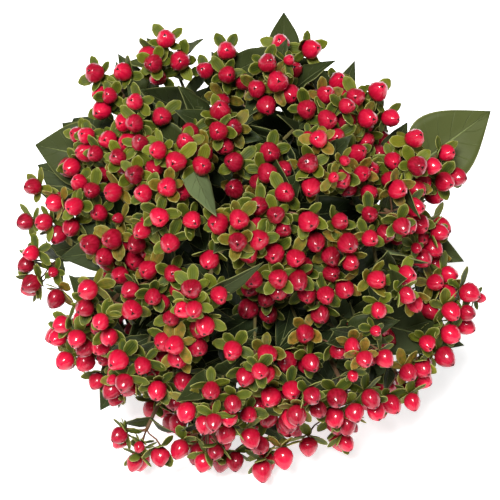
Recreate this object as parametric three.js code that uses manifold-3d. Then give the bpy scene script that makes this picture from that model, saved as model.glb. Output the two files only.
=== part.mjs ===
// A bunch of cut hypericum stems, lying on a table with its head of berries towards -Y.
// Every stem is a woody cane that forks into sprays. A spray ends in a few berries, each on a thin
// stalk and each sitting in a star of five sepals. Opposite pairs of leaves grow at the cane's nodes,
// and small ones at the sprays' forks. A rubber band holds the canes together behind the head.
// Millimetres, +Z up. The origin is under the middle of the bunch, on the table.

import * as THREE from "three";
import { mergeVertices } from "three/addons/utils/BufferGeometryUtils.js";
import Module from "manifold-3d";

const wasm = await Module();
wasm.setup();

// ---- Driving dimensions, in millimetres and degrees ----

const STEM_COUNT = 12;
const LATTICE_COUNT = 68; // places for sprays over the head, before the rim takes some of them
const CANE_RADIUS = 2.1; // at the cut end
const CANE_TIP_RADIUS = 1.2;
const BRANCH_RADIUS = 0.95;
const STALK_RADIUS = 0.8;

const HEAD_RADIUS = 134; // middle of the head to the middle of an outer spray's first berry
const HEAD_HEIGHT = 112; // middle of the head above the table
const HEAD_TILT = 20; // the head's axis rises from -Y by this
const HEAD_WRAP = 98; // sprays reach this far round from the axis
const WOBBLE = 9; // and stray by up to half of this from their even spacing
const STEM_WRAP = 76; // the stems' own directions reach this far round
const SPRAY_DEPTH = 38; // the deepest sprays sit this far inside the head
const SHOW_TILT = 42; // the bunch's best side faces -Y and up by this
const RIM_LEAN = 84; // the rim's sprays lean this far from the best side's axis
const RIM_DEPTH = 27; // a rim spray's fork inside its furthest berry
const RIM_GAP = 13; // no other spray grows within this angle of a rim spray

const NOD_RISE = 10; // berries turn towards a direction that rises from -Y by this
const NOD = 1.15; // how strongly they turn, halfway up the head
const NOD_CHANGE = 0.85; // how much stronger at the top of the head, and weaker at the bottom

const BAND_BACK = 195; // rubber band behind the head's middle
const CUT_BACK = 288; // cut ends behind the head's middle
const CUT_STAGGER = 12;
const BAND_PULL = 80; // a cane's bend is pulled this far straight on from the band
const BAND_RISE = 6; // and up by this
const BAND_FAN = 2.2; // and apart by this share of its place in the band
const TIP_PULL = 66; // and this far back from its tip, along its top spray's axis
const CANE_PITCH = 2.75; // spacing of the canes inside the band
const TAIL_SPREAD = 1.35; // the cut ends stand this much further apart
const BAND_WIDTH = 7;
const BAND_THICKNESS = 1.4;
const BAND_GAP = 0.35; // between the band and the canes
const BAND_STEPS = 24;

const BERRY_RADIUS = 5.6;
const BERRY_LENGTH = 12.4;
const BERRY_COUNTS = [5, 6.2]; // on a spray, before rounding
const BERRY_SIZES = [0.9, 1.14];
const SMALL_BERRY = 0.6; // the size of the few that stay small
const SMALL_SHARE = 0.05;
const FIRST_LEAN = 8; // a spray's first berry leans by this from its axis
const SIDE_LEANS = [30, 56]; // and the others by this
const SIDE_REACHES = [15, 26]; // from the fork to the others' middles
const SIDE_TURN = 0.6; // how far a berry turns towards its own stalk
const SWING = 0.5; // and to any side
const STYLE_REACH = 0.8; // the dried styles stand this far out of a berry's tip
const BERRY_GAP = 0.8; // free space kept between berries
const SEPAL_REACH = 11.6; // berry's axis to a sepal's tip
const SEPAL_ROOT = 1.7; // the sepals grow from the stalk this far below the berry
const NODE_DEPTH = 23; // a spray's fork below its first berry
const STALK_STEP = 2; // between the stalks' roots below a fork
const RIM_BERRIES = 2; // side berries on each of the rim's sprays
const INNER_SHARE = 6; // and one on every sixth of the others
const BRACT_DROP = 7; // small leaves grow this far below a fork
const SHOW_LEAF_DROP = 8; // and the large leaves that stand out of the head this far
const LEAF_LENGTH = 56;
const LEAF_WIDTH = 30;
const LEAF_RISE = 0.55; // how far a leaf leans along its cane
const BRACT_LENGTH = 19;
const BRACT_WIDTH = 11;
const BLADE_THICKNESS = 0.9;
const FOLD = 0.3; // a blade's edge rises by this share of its distance from the rib
const ARCH = 0.12; // a blade's tip bends back by this share of its length
const LOWEST_BLADE = 0.7; // blades near the table bend to stay this far above it

const CANE_STEPS = 8; // straight lengths from the band to a cane's tip
const BRANCH_STEPS = 2;
const WELD = 0.1; // steps smaller than this are smoothed away after joining
const CLEARANCE = 0.4; // kept between one stem and the next

// Steps along a cane from the band where a pair of leaves grows, and the size of those leaves.
const CANE_NODES = [
  { step: 2, leaf: 1 },
  { step: 4, leaf: 1 },
  { step: 5, leaf: 0.9 },
  { step: 6, leaf: 0.78 },
  { step: 7, leaf: 0.62 },
];
const NODE_SHIFT = 0.8; // each node stands up to this much of a step nearer to the band
const BRANCHES_PER_NODE = 2;
const AXIL = 4; // a branch grows this far beyond the leaves of its node
const LEAF_ROOT = 0.9; // a leaf starts this far from the middle of its cane

// Sprays round the rim, as seen from the best side: turned anticlockwise from +X, reaching this far.
const RIM = [
  { turn: -9, reach: 136 },
  { turn: 25, reach: 142 },
  { turn: 44, reach: 119 },
  { turn: 60, reach: 131 },
  { turn: 79, reach: 140 },
  { turn: 98, reach: 134 },
  { turn: 114, reach: 154 },
  { turn: 129, reach: 152 },
  { turn: 150, reach: 135 },
  { turn: 167, reach: 143 },
  { turn: 184, reach: 147 },
  { turn: 207, reach: 140 },
  { turn: 222, reach: 127 },
  { turn: 240, reach: 152 },
  { turn: 257, reach: 138 },
  { turn: 273, reach: 139 },
  { turn: 296, reach: 137 },
  { turn: 320, reach: 143 },
  { turn: 333, reach: 142 },
  { turn: 346, reach: 147 },
];

// Hollows in the head, as seen from the best side: where they are, how deep and how wide.
const HOLLOWS = [
  { turn: 88, lean: 28, depth: 55, width: 11 },
  { turn: -43, lean: 20, depth: 45, width: 11 },
  { turn: 6, lean: 64, depth: 28, width: 9 },
];

// Large leaves that stand out of the head: where the tip is as seen from the best side, and how far
// in front of the head's middle it is.
const SHOW_LEAVES = [
  { turn: 30, reach: 170, front: 5, length: 66, width: 45 },
  { turn: 82, reach: 150, front: -12, length: 56, width: 20 },
  { turn: 154, reach: 147, front: 0, length: 62, width: 40 },
  { turn: 143, reach: 138, front: -14, length: 60, width: 40 },
  { turn: 336, reach: 142, front: 22, length: 58, width: 34 },
  { turn: -3, reach: 130, front: 8, length: 56, width: 24 },
  { turn: 227, reach: 134, front: 6, length: 54, width: 26 },
];

// ---- Small helpers ----

const vec = (x, y, z) => new THREE.Vector3(x, y, z);
const rad = THREE.MathUtils.degToRad;
const GOLDEN_ANGLE = Math.PI * (3 - Math.sqrt(5));

// A repeatable random number from 0 to 1 for up to three whole-number keys.
function chance(a, b = 0, c = 0) {
  const s = Math.sin(a * 12.9898 + b * 78.233 + c * 37.719 + 4.137) * 43758.5453;
  return s - Math.floor(s);
}

const spread = (low, high, ...keys) => low + (high - low) * chance(...keys);

// Two unit vectors square to the given one.
function across(axis) {
  const helper = Math.abs(axis.z) < 0.9 ? vec(0, 0, 1) : vec(1, 0, 0);
  const first = helper.cross(axis).normalize();
  return [first, axis.clone().cross(first)];
}

const along = (start, direction, distance) => start.clone().addScaledVector(direction, distance);

// The direction that leans away from an axis, turned round it from `first` towards `second`.
function leaning(axis, first, second, lean, turn) {
  return axis
    .clone()
    .multiplyScalar(Math.cos(lean))
    .addScaledVector(first, Math.sin(lean) * Math.cos(turn))
    .addScaledVector(second, Math.sin(lean) * Math.sin(turn));
}

// ---- Where everything grows ----

const SIDEWAYS = vec(1, 0, 0);
const HEAD_MIDDLE = vec(0, 0, HEAD_HEIGHT);
const forward = (rise) => vec(0, -Math.cos(rad(rise)), Math.sin(rad(rise)));
const HEAD_AXIS = forward(HEAD_TILT);
const HEAD_UP = forward(HEAD_TILT + 90);
const SHOW_AXIS = forward(SHOW_TILT);
const SHOW_UP = forward(SHOW_TILT + 90);
const NOD_AXIS = forward(NOD_RISE);

// The i-th of n directions, evenly spaced like sunflower seeds over a cap round the head's axis.
function capDirection(i, n, wrap, wobble = 0) {
  const lean = Math.acos(1 - ((i + 0.5) / n) * (1 - Math.cos(rad(wrap))));
  const leanOff = rad(wobble) * (chance(i, n, 1) - 0.5);
  const turnOff = (rad(wobble) * (chance(i, n, 2) - 0.5)) / Math.max(Math.sin(lean), 0.3);
  return leaning(HEAD_AXIS, SIDEWAYS, HEAD_UP, lean + leanOff, i * GOLDEN_ANGLE + turnOff);
}

const showDirection = (turn, lean) => leaning(SHOW_AXIS, SIDEWAYS, SHOW_UP, rad(lean), rad(turn));

// The way that a spray points at a place on the head: outwards, but nodding forwards.
function growth(outward) {
  const nod = NOD + NOD_CHANGE * outward.dot(HEAD_UP);
  return along(outward, NOD_AXIS, nod).normalize();
}

function hollowDepth(outward) {
  return HOLLOWS.reduce((sum, { turn, lean, depth, width }) => {
    const angle = outward.angleTo(showDirection(turn, lean));
    return sum + depth * Math.exp(-((angle / rad(width)) ** 2));
  }, 0);
}

function makeSpray(key, outward, forkReach, onRim) {
  const fork = along(HEAD_MIDDLE, outward, forkReach);
  fork.z = Math.max(fork.z, 2 * BERRY_RADIUS);
  return { key, outward, axis: growth(outward), fork, onRim, berries: [] };
}

// The rim's sprays, then those spread over the rest of the head.
function makeSprays() {
  const rim = RIM.map(({ turn, reach }, k) =>
    makeSpray(100 + k, showDirection(turn, RIM_LEAN), reach - RIM_DEPTH, true),
  );
  const inner = Array.from({ length: LATTICE_COUNT }, (_, j) => {
    const outward = capDirection(j, LATTICE_COUNT, HEAD_WRAP, WOBBLE);
    const reach = HEAD_RADIUS - SPRAY_DEPTH * chance(j, 3) ** 2 - hollowDepth(outward);
    return makeSpray(j, outward, reach - NODE_DEPTH, false);
  });
  const apart = (a, b) => a.outward.angleTo(b.outward) > rad(RIM_GAP);
  return [...rim, ...inner.filter((spray) => rim.every((other) => apart(spray, other)))];
}

// Berries round each fork: one in the middle, and the others beside it.
function placeBerries(sprays) {
  for (const { key, axis, fork, berries } of sprays) {
    const [side, other] = across(axis);
    const count = Math.round(spread(...BERRY_COUNTS, key, 5));
    const start = 2 * Math.PI * chance(key, 6);
    for (let k = 0; k < count; k++) {
      const small = chance(key, k, 8) < SMALL_SHARE;
      const size = small ? SMALL_BERRY : spread(...BERRY_SIZES, key, k, 7);
      const lean = rad(k === 0 ? FIRST_LEAN : spread(...SIDE_LEANS, key, k, 9));
      const turn = start + (k * 2 * Math.PI) / (count - 1) + spread(-0.3, 0.3, key, k, 10);
      const direction = leaning(axis, side, other, lean, turn);
      const reach = k === 0 ? NODE_DEPTH : spread(...SIDE_REACHES, key, k, 11);
      const swing = leaning(axis, side, other, Math.PI / 2, 2 * Math.PI * chance(key, k, 13));
      const swung = along(axis, swing, spread(0, SWING, key, k, 14));
      berries.push({
        size,
        middle: along(fork, direction, reach),
        axis: along(swung, direction, SIDE_TURN).normalize(),
      });
    }
  }
}

// How high a berry's middle stands above the table when it or one of its sepals rests there.
function restingHeight({ axis, size }) {
  const sepalTip = SEPAL_REACH * size * Math.sqrt(1 - axis.z ** 2) + 0.5 * BERRY_LENGTH * size * axis.z;
  return Math.max(0.86 * BERRY_RADIUS * size, 0.9 * sepalTip);
}

// Berries that stand too close push each other apart, and none sinks into the table.
function settleBerries(sprays, rounds = 24) {
  const berries = sprays.flatMap((spray) => spray.berries);
  for (let round = 0; round < rounds; round++) {
    for (let i = 0; i < berries.length; i++)
      for (let j = i + 1; j < berries.length; j++) {
        const a = berries[i];
        const b = berries[j];
        const apart = b.middle.clone().sub(a.middle);
        const wanted = BERRY_RADIUS * (a.size + b.size) + BERRY_GAP;
        const distance = apart.length();
        if (distance >= wanted) continue;
        apart.multiplyScalar((0.5 * (wanted - distance)) / distance);
        a.middle.sub(apart);
        b.middle.add(apart);
      }
    for (const berry of berries) berry.middle.z = Math.max(berry.middle.z, restingHeight(berry));
  }
}

// The canes cross the band side by side, packed like seeds in a sunflower.
const slotX = (i) => CANE_PITCH * Math.sqrt(i + 0.5) * Math.cos(i * GOLDEN_ANGLE);
const slotZ = (i) => CANE_PITCH * Math.sqrt(i + 0.5) * Math.sin(i * GOLDEN_ANGLE);
const LOWEST_SLOT = Math.min(...Array.from({ length: STEM_COUNT }, (_, i) => slotZ(i)));
const BAND_HEIGHT = 0.75 * CANE_RADIUS - TAIL_SPREAD * LOWEST_SLOT; // so that the lowest cut end rests

// A cane's line: straight from its cut end through the band, then out in a curve to its top spray's fork.
function makeCane(i, top) {
  const x = slotX(i);
  const z = slotZ(i);
  const cutBack = CUT_BACK + CUT_STAGGER * (chance(i, 20) - 0.5);
  const cut = vec(x * TAIL_SPREAD, cutBack, BAND_HEIGHT + z * TAIL_SPREAD);
  const bandIn = vec(x, BAND_BACK + 0.7 * BAND_WIDTH, BAND_HEIGHT + z);
  const bandOut = vec(x, BAND_BACK - 0.7 * BAND_WIDTH, BAND_HEIGHT + z);
  const curve = new THREE.CubicBezierCurve3(
    bandOut,
    bandOut.clone().add(vec(BAND_FAN * x, -BAND_PULL, BAND_FAN * z + BAND_RISE)),
    along(top.fork, top.axis, -TIP_PULL),
    top.fork,
  );
  return [cut, bandIn, ...curve.getPoints(CANE_STEPS)];
}

// The point where a stem's node is, and the way that its cane goes on from there.
function caneNode({ index, cane }, node) {
  const k = cane.length - 1 - CANE_STEPS + CANE_NODES[node].step;
  const middle = cane[k].clone().lerp(cane[k - 1], NODE_SHIFT * chance(index, node, 15));
  const onward = cane[k].clone().sub(cane[k - 1]).normalize();
  return { middle, onward };
}

// A branch's line, from just beyond its node to its spray's fork, where it runs along the spray's axis.
function makeBranch(stem, spray) {
  const { middle, onward } = caneNode(stem, spray.node);
  const from = along(middle, onward, AXIL);
  const bend = along(spray.fork, spray.axis, -0.5 * from.distanceTo(spray.fork));
  return new THREE.QuadraticBezierCurve3(from, bend, spray.fork).getPoints(BRANCH_STEPS);
}

// Each spray belongs to the stem whose direction is nearest. The nearest spray of all tops the cane, and
// the rest branch from its nodes in opposite pairs, those that lean furthest out from the lowest node.
function makeStems(sprays) {
  const stems = Array.from({ length: STEM_COUNT }, (_, i) => ({
    index: i,
    direction: capDirection(i, STEM_COUNT, STEM_WRAP),
    sprays: [],
  }));
  for (const spray of sprays) {
    const nearest = stems.reduce((best, stem) =>
      stem.direction.dot(spray.outward) > best.direction.dot(spray.outward) ? stem : best,
    );
    nearest.sprays.push(spray);
  }
  for (const stem of stems) {
    stem.sprays.sort((a, b) => b.outward.dot(stem.direction) - a.outward.dot(stem.direction));
    [stem.top, ...stem.side] = stem.sprays;
    stem.cane = makeCane(stem.index, stem.top);
    stem.top.line = stem.cane;
    stem.side.forEach((spray, k) => {
      spray.node = Math.max(CANE_NODES.length - 1 - Math.floor(k / BRANCHES_PER_NODE), 1);
      spray.line = makeBranch(stem, spray);
    });
  }
  return stems;
}

// ---- Solids ----

// Joins two rings of points, which may differ in number, with triangles that face outwards.
function stitch(faces, a, b) {
  let i = a.length === 1 ? 1 : 0;
  let j = b.length === 1 ? 1 : 0;
  const at = (ring, k) => ring[k % ring.length];
  while (i < a.length || j < b.length) {
    const stepA = i < a.length && (j >= b.length || (i + 1) / a.length <= (j + 1) / b.length);
    if (stepA) {
      faces.push(at(a, i), at(a, i + 1), at(b, j));
      i += 1;
    } else {
      faces.push(at(a, i), at(b, j + 1), at(b, j));
      j += 1;
    }
  }
}

// A closed skin over rings of points along a line. A station gives its ring's middle, axis and radii:
// one radius for each point of the ring, and a single zero for a pointed end.
function loft(stations) {
  const points = [];
  const faces = [];
  let side = across(stations[0].axis)[0];
  let last = stations[0].axis;
  let before = null;
  for (const { middle, axis, radii } of stations) {
    side = side.clone().applyQuaternion(new THREE.Quaternion().setFromUnitVectors(last, axis));
    last = axis;
    const other = axis.clone().cross(side);
    const ring = radii.map((radius, k) => {
      const out = leaning(axis, side, other, Math.PI / 2, (2 * Math.PI * k) / radii.length);
      points.push(along(middle, out, radius));
      return points.length - 1;
    });
    if (before) stitch(faces, before, ring);
    else for (let k = 1; k + 1 < ring.length; k++) faces.push(ring[0], ring[k + 1], ring[k]);
    before = ring;
  }
  for (let k = 1; k + 1 < before.length; k++) faces.push(before[0], before[k], before[k + 1]);
  return new THREE.BufferGeometry().setFromPoints(points).setIndex(faces);
}

const evenRing = (middle, axis, sides, radius) => ({ middle, axis, radii: Array(sides).fill(radius) });

// Stations along a line of points, with a radius worked out from how far along it each one is.
function lineStations(points, sides, radiusAt) {
  const last = points.length - 1;
  return points.map((point, k) => {
    const before = points[Math.max(k - 1, 0)];
    const after = points[Math.min(k + 1, last)];
    return evenRing(point, after.clone().sub(before).normalize(), sides, radiusAt(k / last));
  });
}

// The top of a berry's stalk, a flat star of five sepals, and the berry standing in it.
function berryStations({ middle, axis, size }) {
  const radius = BERRY_RADIUS * size;
  const length = BERRY_LENGTH * size;
  const base = along(middle, axis, -0.5 * length);
  const reach = SEPAL_REACH * (0.35 + 0.65 * size);
  const sepals = Array.from({ length: 10 }, (_, k) => (k % 2 ? 0.5 * reach : reach));
  return [
    evenRing(along(base, axis, -SEPAL_ROOT), axis, 3, STALK_RADIUS),
    { middle: base, axis, radii: sepals },
    evenRing(along(base, axis, 0.1 * length), axis, 5, 0.66 * radius),
    evenRing(along(base, axis, 0.46 * length), axis, 5, 1.06 * radius),
    evenRing(along(base, axis, 0.78 * length), axis, 5, 0.82 * radius),
    { middle: along(base, axis, length + STYLE_REACH), axis, radii: [0] },
  ];
}

// A berry on a stalk of its own, whose pointed root is sunk into what it grows from.
function stalkedBerry(root, berry) {
  const stations = berryStations(berry);
  const way = stations[0].middle.clone().sub(root).normalize();
  return loft([
    { middle: along(root, way, -0.4), axis: way, radii: [0] },
    evenRing(along(root, way, 0.5), way, 3, STALK_RADIUS),
    ...stations,
  ]);
}

// A leaf blade: pointed, arched along its length, folded up a little along its rib and thickest there.
// Both faces share the edge, and are split into the same triangles. The root is a short upright edge.
function blade({ root, direction, face, length, width, stations }) {
  const side = direction.clone().cross(face).normalize();
  const normal = side.clone().cross(direction).normalize();
  const halfWidth = (t) => 0.5 * width * Math.sin(Math.PI * t ** 0.72) ** 0.8;
  const half = BLADE_THICKNESS / 2;
  const spot = (t, out, lift) => {
    const point = along(along(root, direction, length * t), side, out);
    point.addScaledVector(normal, FOLD * Math.abs(out) - ARCH * length * t * t);
    point.z = Math.max(point.z, LOWEST_BLADE);
    return point.addScaledVector(normal, lift);
  };
  const points = [spot(0, 0, half), spot(0, 0, -half), spot(1, 0, 0)];
  for (let k = 1; k <= stations; k++) {
    const t = k / (stations + 1);
    points.push(spot(t, halfWidth(t), 0), spot(t, -halfWidth(t), 0), spot(t, 0, half), spot(t, 0, -half));
  }
  const LEFT = 0;
  const RIGHT = 1;
  const corner = (k, which) => {
    if (k === 0) return which === 2 ? 0 : 1;
    return k > stations ? 2 : 4 * k - 1 + which;
  };
  const faces = [];
  for (const rib of [2, 3]) {
    const add = (a, b, c) => {
      if (a !== b && b !== c && a !== c) faces.push(...(rib === 3 ? [a, c, b] : [a, b, c]));
    };
    for (let k = 1; k <= stations + 1; k++) {
      add(corner(k - 1, rib), corner(k - 1, LEFT), corner(k, LEFT));
      add(corner(k - 1, rib), corner(k, LEFT), corner(k, rib));
      add(corner(k - 1, rib), corner(k, rib), corner(k, RIGHT));
      add(corner(k - 1, rib), corner(k, RIGHT), corner(k - 1, RIGHT));
    }
  }
  return new THREE.BufferGeometry().setFromPoints(points).setIndex(faces);
}

// ---- Joining ----

function toManifold(geometry) {
  const bare = geometry.clone();
  bare.deleteAttribute("normal");
  bare.deleteAttribute("uv");
  const merged = mergeVertices(bare, 1e-4);
  return new wasm.Manifold(
    new wasm.Mesh({
      numProp: 3,
      vertProperties: new Float32Array(merged.attributes.position.array),
      triVerts: new Uint32Array(merged.index.array),
    }),
  );
}

function toGeometry(solid) {
  const mesh = solid.getMesh();
  const positions = new Float32Array(mesh.numVert * 3);
  for (let i = 0; i < mesh.numVert; i++)
    positions.set(mesh.vertProperties.subarray(i * mesh.numProp, i * mesh.numProp + 3), i * 3);
  const geometry = new THREE.BufferGeometry();
  geometry.setAttribute("position", new THREE.BufferAttribute(positions, 3));
  geometry.setIndex(new THREE.BufferAttribute(new Uint32Array(mesh.triVerts), 1));
  return geometry;
}

// Joins a stem's pieces, keeps the one body that they make, and cuts off what would sink into the table.
function fuse(pieces) {
  const table = new THREE.BoxGeometry(900, 900, 60).translate(0, 0, -30);
  const joined = wasm.Manifold.union(pieces).asOriginal().simplify(WELD);
  const bodies = joined.subtract(toManifold(table)).decompose();
  return bodies.reduce((a, b) => (b.volume() > a.volume() ? b : a));
}

const boxesMeet = (a, b) =>
  [0, 1, 2].every((k) => a.min[k] < b.max[k] + CLEARANCE && b.min[k] < a.max[k] + CLEARANCE);

// True where a piece keeps its clearance from every piece of the other stems.
function isClear(piece, others) {
  const box = piece.boundingBox();
  const near = others.filter((other) => boxesMeet(box, other.boundingBox()));
  return near.every((other) => piece.minGap(other, 2 * CLEARANCE) >= CLEARANCE);
}

// ---- The pieces of one stem ----

// The cane with its top spray's first berry, and each branch with its own spray's first berry.
function canePieces({ cane, top, side }) {
  const thickness = (t) => CANE_RADIUS + (CANE_TIP_RADIUS - CANE_RADIUS) * t;
  const main = loft([...lineStations(cane, 5, thickness), ...berryStations(top.berries[0])]);
  const branches = side.map(({ line, berries }) =>
    loft([...lineStations(line, 3, () => BRANCH_RADIUS), ...berryStations(berries[0])]),
  );
  return [main, ...branches];
}

// The point on a spray's line at a distance below its fork.
function belowFork({ line }, distance) {
  const [before, fork] = line.slice(-2);
  return along(fork, before.clone().sub(fork).normalize(), distance);
}

// The spray's further berries that rest on the table or stand furthest out, each rooted a little below
// its fork.
function sideBerryPieces(spray) {
  const rests = (berry) => berry.middle.z < restingHeight(berry) + 0.01;
  const reachOf = ({ middle, size }) => middle.distanceTo(HEAD_MIDDLE) + BERRY_RADIUS * size;
  const furthest = spray.berries.slice(1).sort((a, b) => reachOf(b) - reachOf(a));
  const count = spray.onRim ? RIM_BERRIES : Number(spray.key % INNER_SHARE === INNER_SHARE - 1);
  const built = furthest.filter((berry, k) => k < count || rests(berry));
  return built.map((berry, k) => stalkedBerry(belowFork(spray, STALK_STEP * (k + 1)), berry));
}

// A pair of leaves at each node, the first of them below a branch if the node has one.
function leafPieces(stem) {
  return CANE_NODES.flatMap(({ leaf }, node) => {
    const { middle, onward } = caneNode(stem, node);
    const branch = stem.side.find((spray) => spray.node === node);
    const [u, v] = across(onward);
    const outward = branch
      ? branch.fork.clone().sub(middle).projectOnPlane(onward).normalize()
      : leaning(onward, u, v, Math.PI / 2, 2.1 * node);
    return [1, -1].map((sign) => {
      const direction = along(onward.clone().multiplyScalar(LEAF_RISE), outward, sign).normalize();
      return blade({
        root: along(middle, direction, LEAF_ROOT),
        direction,
        face: onward,
        length: leaf * LEAF_LENGTH,
        width: leaf * LEAF_WIDTH,
        stations: 2,
      });
    });
  });
}

// A small leaf below the fork.
function bractPieces(spray) {
  const [u, v] = across(spray.axis);
  return [
    blade({
      root: belowFork(spray, BRACT_DROP),
      direction: leaning(spray.axis, u, v, rad(63), 2 * Math.PI * chance(spray.key, 12)),
      face: spray.axis,
      length: BRACT_LENGTH,
      width: BRACT_WIDTH,
      stations: 2,
    }),
  ];
}

// The large leaves that stand out, each with the spray that it grows on: the one whose fork is nearest
// to where the leaf's root is wanted.
function makeShowLeaves(sprays) {
  return SHOW_LEAVES.map(({ turn, reach, front, length, width }) => {
    const tip = along(along(HEAD_MIDDLE, showDirection(turn, 90), reach), SHOW_AXIS, front);
    const inward = HEAD_MIDDLE.clone().sub(tip).normalize();
    const wanted = along(tip, inward, length);
    const nearness = (spray) => spray.fork.distanceTo(wanted);
    const spray = sprays.reduce((best, other) => (nearness(other) < nearness(best) ? other : best));
    const root = belowFork(spray, SHOW_LEAF_DROP);
    return { spray, root, tip, width };
  });
}

function showLeafPieces(stem, showLeaves) {
  const own = showLeaves.filter((leaf) => stem.sprays.includes(leaf.spray));
  return own.map(({ root, tip, width }) => {
    const way = tip.clone().sub(root);
    return blade({
      root,
      direction: way.clone().normalize(),
      face: SHOW_AXIS,
      length: way.length(),
      width,
      stations: 3,
    });
  });
}

// The band: a ring that follows the outline of the canes that it holds.
function bandGeometry(stems) {
  const inner = BAND_GAP + CANE_RADIUS;
  const outlinePoint = (k, distance) => {
    const angle = (2 * Math.PI * k) / BAND_STEPS;
    const out = new THREE.Vector2(Math.cos(angle), Math.sin(angle));
    const slots = stems.map(({ index }) => new THREE.Vector2(slotX(index), slotZ(index)));
    const outermost = slots.reduce((best, slot) => (slot.dot(out) > best.dot(out) ? slot : best));
    return outermost.clone().addScaledVector(out, distance);
  };
  const outline = (distance) => Array.from({ length: BAND_STEPS }, (_, k) => outlinePoint(k, distance));
  const shape = new THREE.Shape(outline(inner + BAND_THICKNESS));
  shape.holes.push(new THREE.Path(outline(inner)));
  return new THREE.ExtrudeGeometry(shape, { depth: BAND_WIDTH, bevelEnabled: false })
    .translate(0, 0, -BAND_WIDTH / 2)
    .rotateX(Math.PI / 2)
    .translate(0, BAND_BACK, BAND_HEIGHT);
}

// ---- The bunch ----

const sprays = makeSprays();
placeBerries(sprays);
settleBerries(sprays);
const stems = makeStems(sprays);
const showLeaves = makeShowLeaves(sprays);

// What carries a stem comes first for all of them. Each further kind of piece is then added to each stem
// where it keeps clear of the other stems.
const stemPieces = stems.map((stem) => canePieces(stem).map(toManifold));
const furtherKinds = [
  (stem) => showLeafPieces(stem, showLeaves),
  (stem) => stem.sprays.flatMap(sideBerryPieces),
  leafPieces,
  (stem) => stem.sprays.flatMap(bractPieces),
];
for (const piecesOf of furtherKinds)
  stems.forEach((stem, i) => {
    const others = stemPieces.filter((_, k) => k !== i).flat();
    const clear = piecesOf(stem).map(toManifold).filter((piece) => isClear(piece, others));
    stemPieces[i].push(...clear);
  });

const leafGreen = new THREE.MeshStandardMaterial({ color: 0x4f6b2c, roughness: 0.6, metalness: 0 });
const bandRubber = new THREE.MeshStandardMaterial({ color: 0xb98a55, roughness: 0.8, metalness: 0 });

const bunch = new THREE.Group();
stemPieces.forEach((pieces, i) => {
  const mesh = new THREE.Mesh(toGeometry(fuse(pieces)), leafGreen);
  mesh.name = `berry_stem_${String(i + 1).padStart(2, "0")}`;
  bunch.add(mesh);
});

const band = new THREE.Mesh(bandGeometry(stems), bandRubber);
band.name = "rubber_band";
bunch.add(band);

// The whole bunch is moved so that the origin is under its middle.
const middle = new THREE.Box3().setFromObject(bunch).getCenter(vec(0, 0, 0));
bunch.position.set(-middle.x, -middle.y, 0);

export default bunch;
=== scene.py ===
# %% [markdown]
# # A bunch of cut hypericum, lying on a table
#
# Hypericum is a shrub that florists cut for its red berries. Twelve woody stems are held together by an
# elastic band, and each forks into sprays of berries that sit in stars of five sepals.
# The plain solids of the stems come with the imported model. Here every stem is grown again from the same
# dimensions, this time with all its berries, and the solids are replaced by pieces with real finishes.

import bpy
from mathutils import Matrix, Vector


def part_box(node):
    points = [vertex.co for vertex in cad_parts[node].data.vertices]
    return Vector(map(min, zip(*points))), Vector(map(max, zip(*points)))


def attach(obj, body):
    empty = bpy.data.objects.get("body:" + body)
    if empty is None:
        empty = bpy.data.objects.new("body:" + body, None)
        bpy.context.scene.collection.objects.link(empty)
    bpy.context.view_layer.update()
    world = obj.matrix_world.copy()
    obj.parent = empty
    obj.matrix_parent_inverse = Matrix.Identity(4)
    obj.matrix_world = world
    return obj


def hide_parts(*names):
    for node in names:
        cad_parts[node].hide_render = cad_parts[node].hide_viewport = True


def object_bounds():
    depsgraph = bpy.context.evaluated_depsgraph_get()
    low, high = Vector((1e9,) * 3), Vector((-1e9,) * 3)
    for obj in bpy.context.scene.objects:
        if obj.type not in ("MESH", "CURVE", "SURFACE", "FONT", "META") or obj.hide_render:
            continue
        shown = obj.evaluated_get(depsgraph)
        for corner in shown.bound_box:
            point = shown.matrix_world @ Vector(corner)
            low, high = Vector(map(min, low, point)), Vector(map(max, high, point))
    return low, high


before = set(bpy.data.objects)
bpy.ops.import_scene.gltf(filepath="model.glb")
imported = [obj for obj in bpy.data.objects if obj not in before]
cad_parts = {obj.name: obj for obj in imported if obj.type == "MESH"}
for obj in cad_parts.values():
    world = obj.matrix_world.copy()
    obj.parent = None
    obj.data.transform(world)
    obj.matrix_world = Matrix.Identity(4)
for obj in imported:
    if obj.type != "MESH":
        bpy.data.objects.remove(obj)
solid_box = [list(corner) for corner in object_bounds()]
print("The solids reach from", solid_box[0], "to", solid_box[1])

# %% [markdown]
# ## Numbers that look random but never change
#
# A grown thing has no two parts alike, yet the script has to give the same bunch each time it runs.
# Python's own random numbers depend on the order in which they are asked for. Here each number is
# worked out from the keys of the thing that it belongs to, so adding a leaf doesn't move a berry. The last
# key is another one for each use, so a berry's size has nothing to do with its turn.

# %% Repeatable variety
import math
from types import SimpleNamespace

import bpy
import numpy as np
from mathutils import Vector

GOLDEN_ANGLE = math.pi * (3 - math.sqrt(5))


def chance(a, b=0, c=0):
    """A number from 0 to 1 for up to three whole-number keys."""
    s = math.sin(a * 12.9898 + b * 78.233 + c * 37.719 + 4.137) * 43758.5453
    return s - math.floor(s)


def spread(low, high, *keys):
    return low + (high - low) * chance(*keys)


print("Three repeatable numbers:", [round(chance(k), 3) for k in range(3)])

# %% [markdown]
# ## Directions
#
# The head of berries is a dome whose axis rises a little from the front of the table. Its best side
# faces forwards and up. Everything on the dome is placed by a direction from its middle, so a few small
# helpers turn angles into directions.

# %% Directions from angles
HEAD_TILT = 20  # degrees that the head's axis rises from the front
SHOW_TILT = 42  # and that its best side does
NOD_RISE = 10  # berries turn towards this
SIDEWAYS = Vector((1, 0, 0))
ALONG = Vector((0, 1, 0))
UP = Vector((0, 0, 1))


def forward(rise):
    return Vector((0, -math.cos(math.radians(rise)), math.sin(math.radians(rise))))


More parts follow.
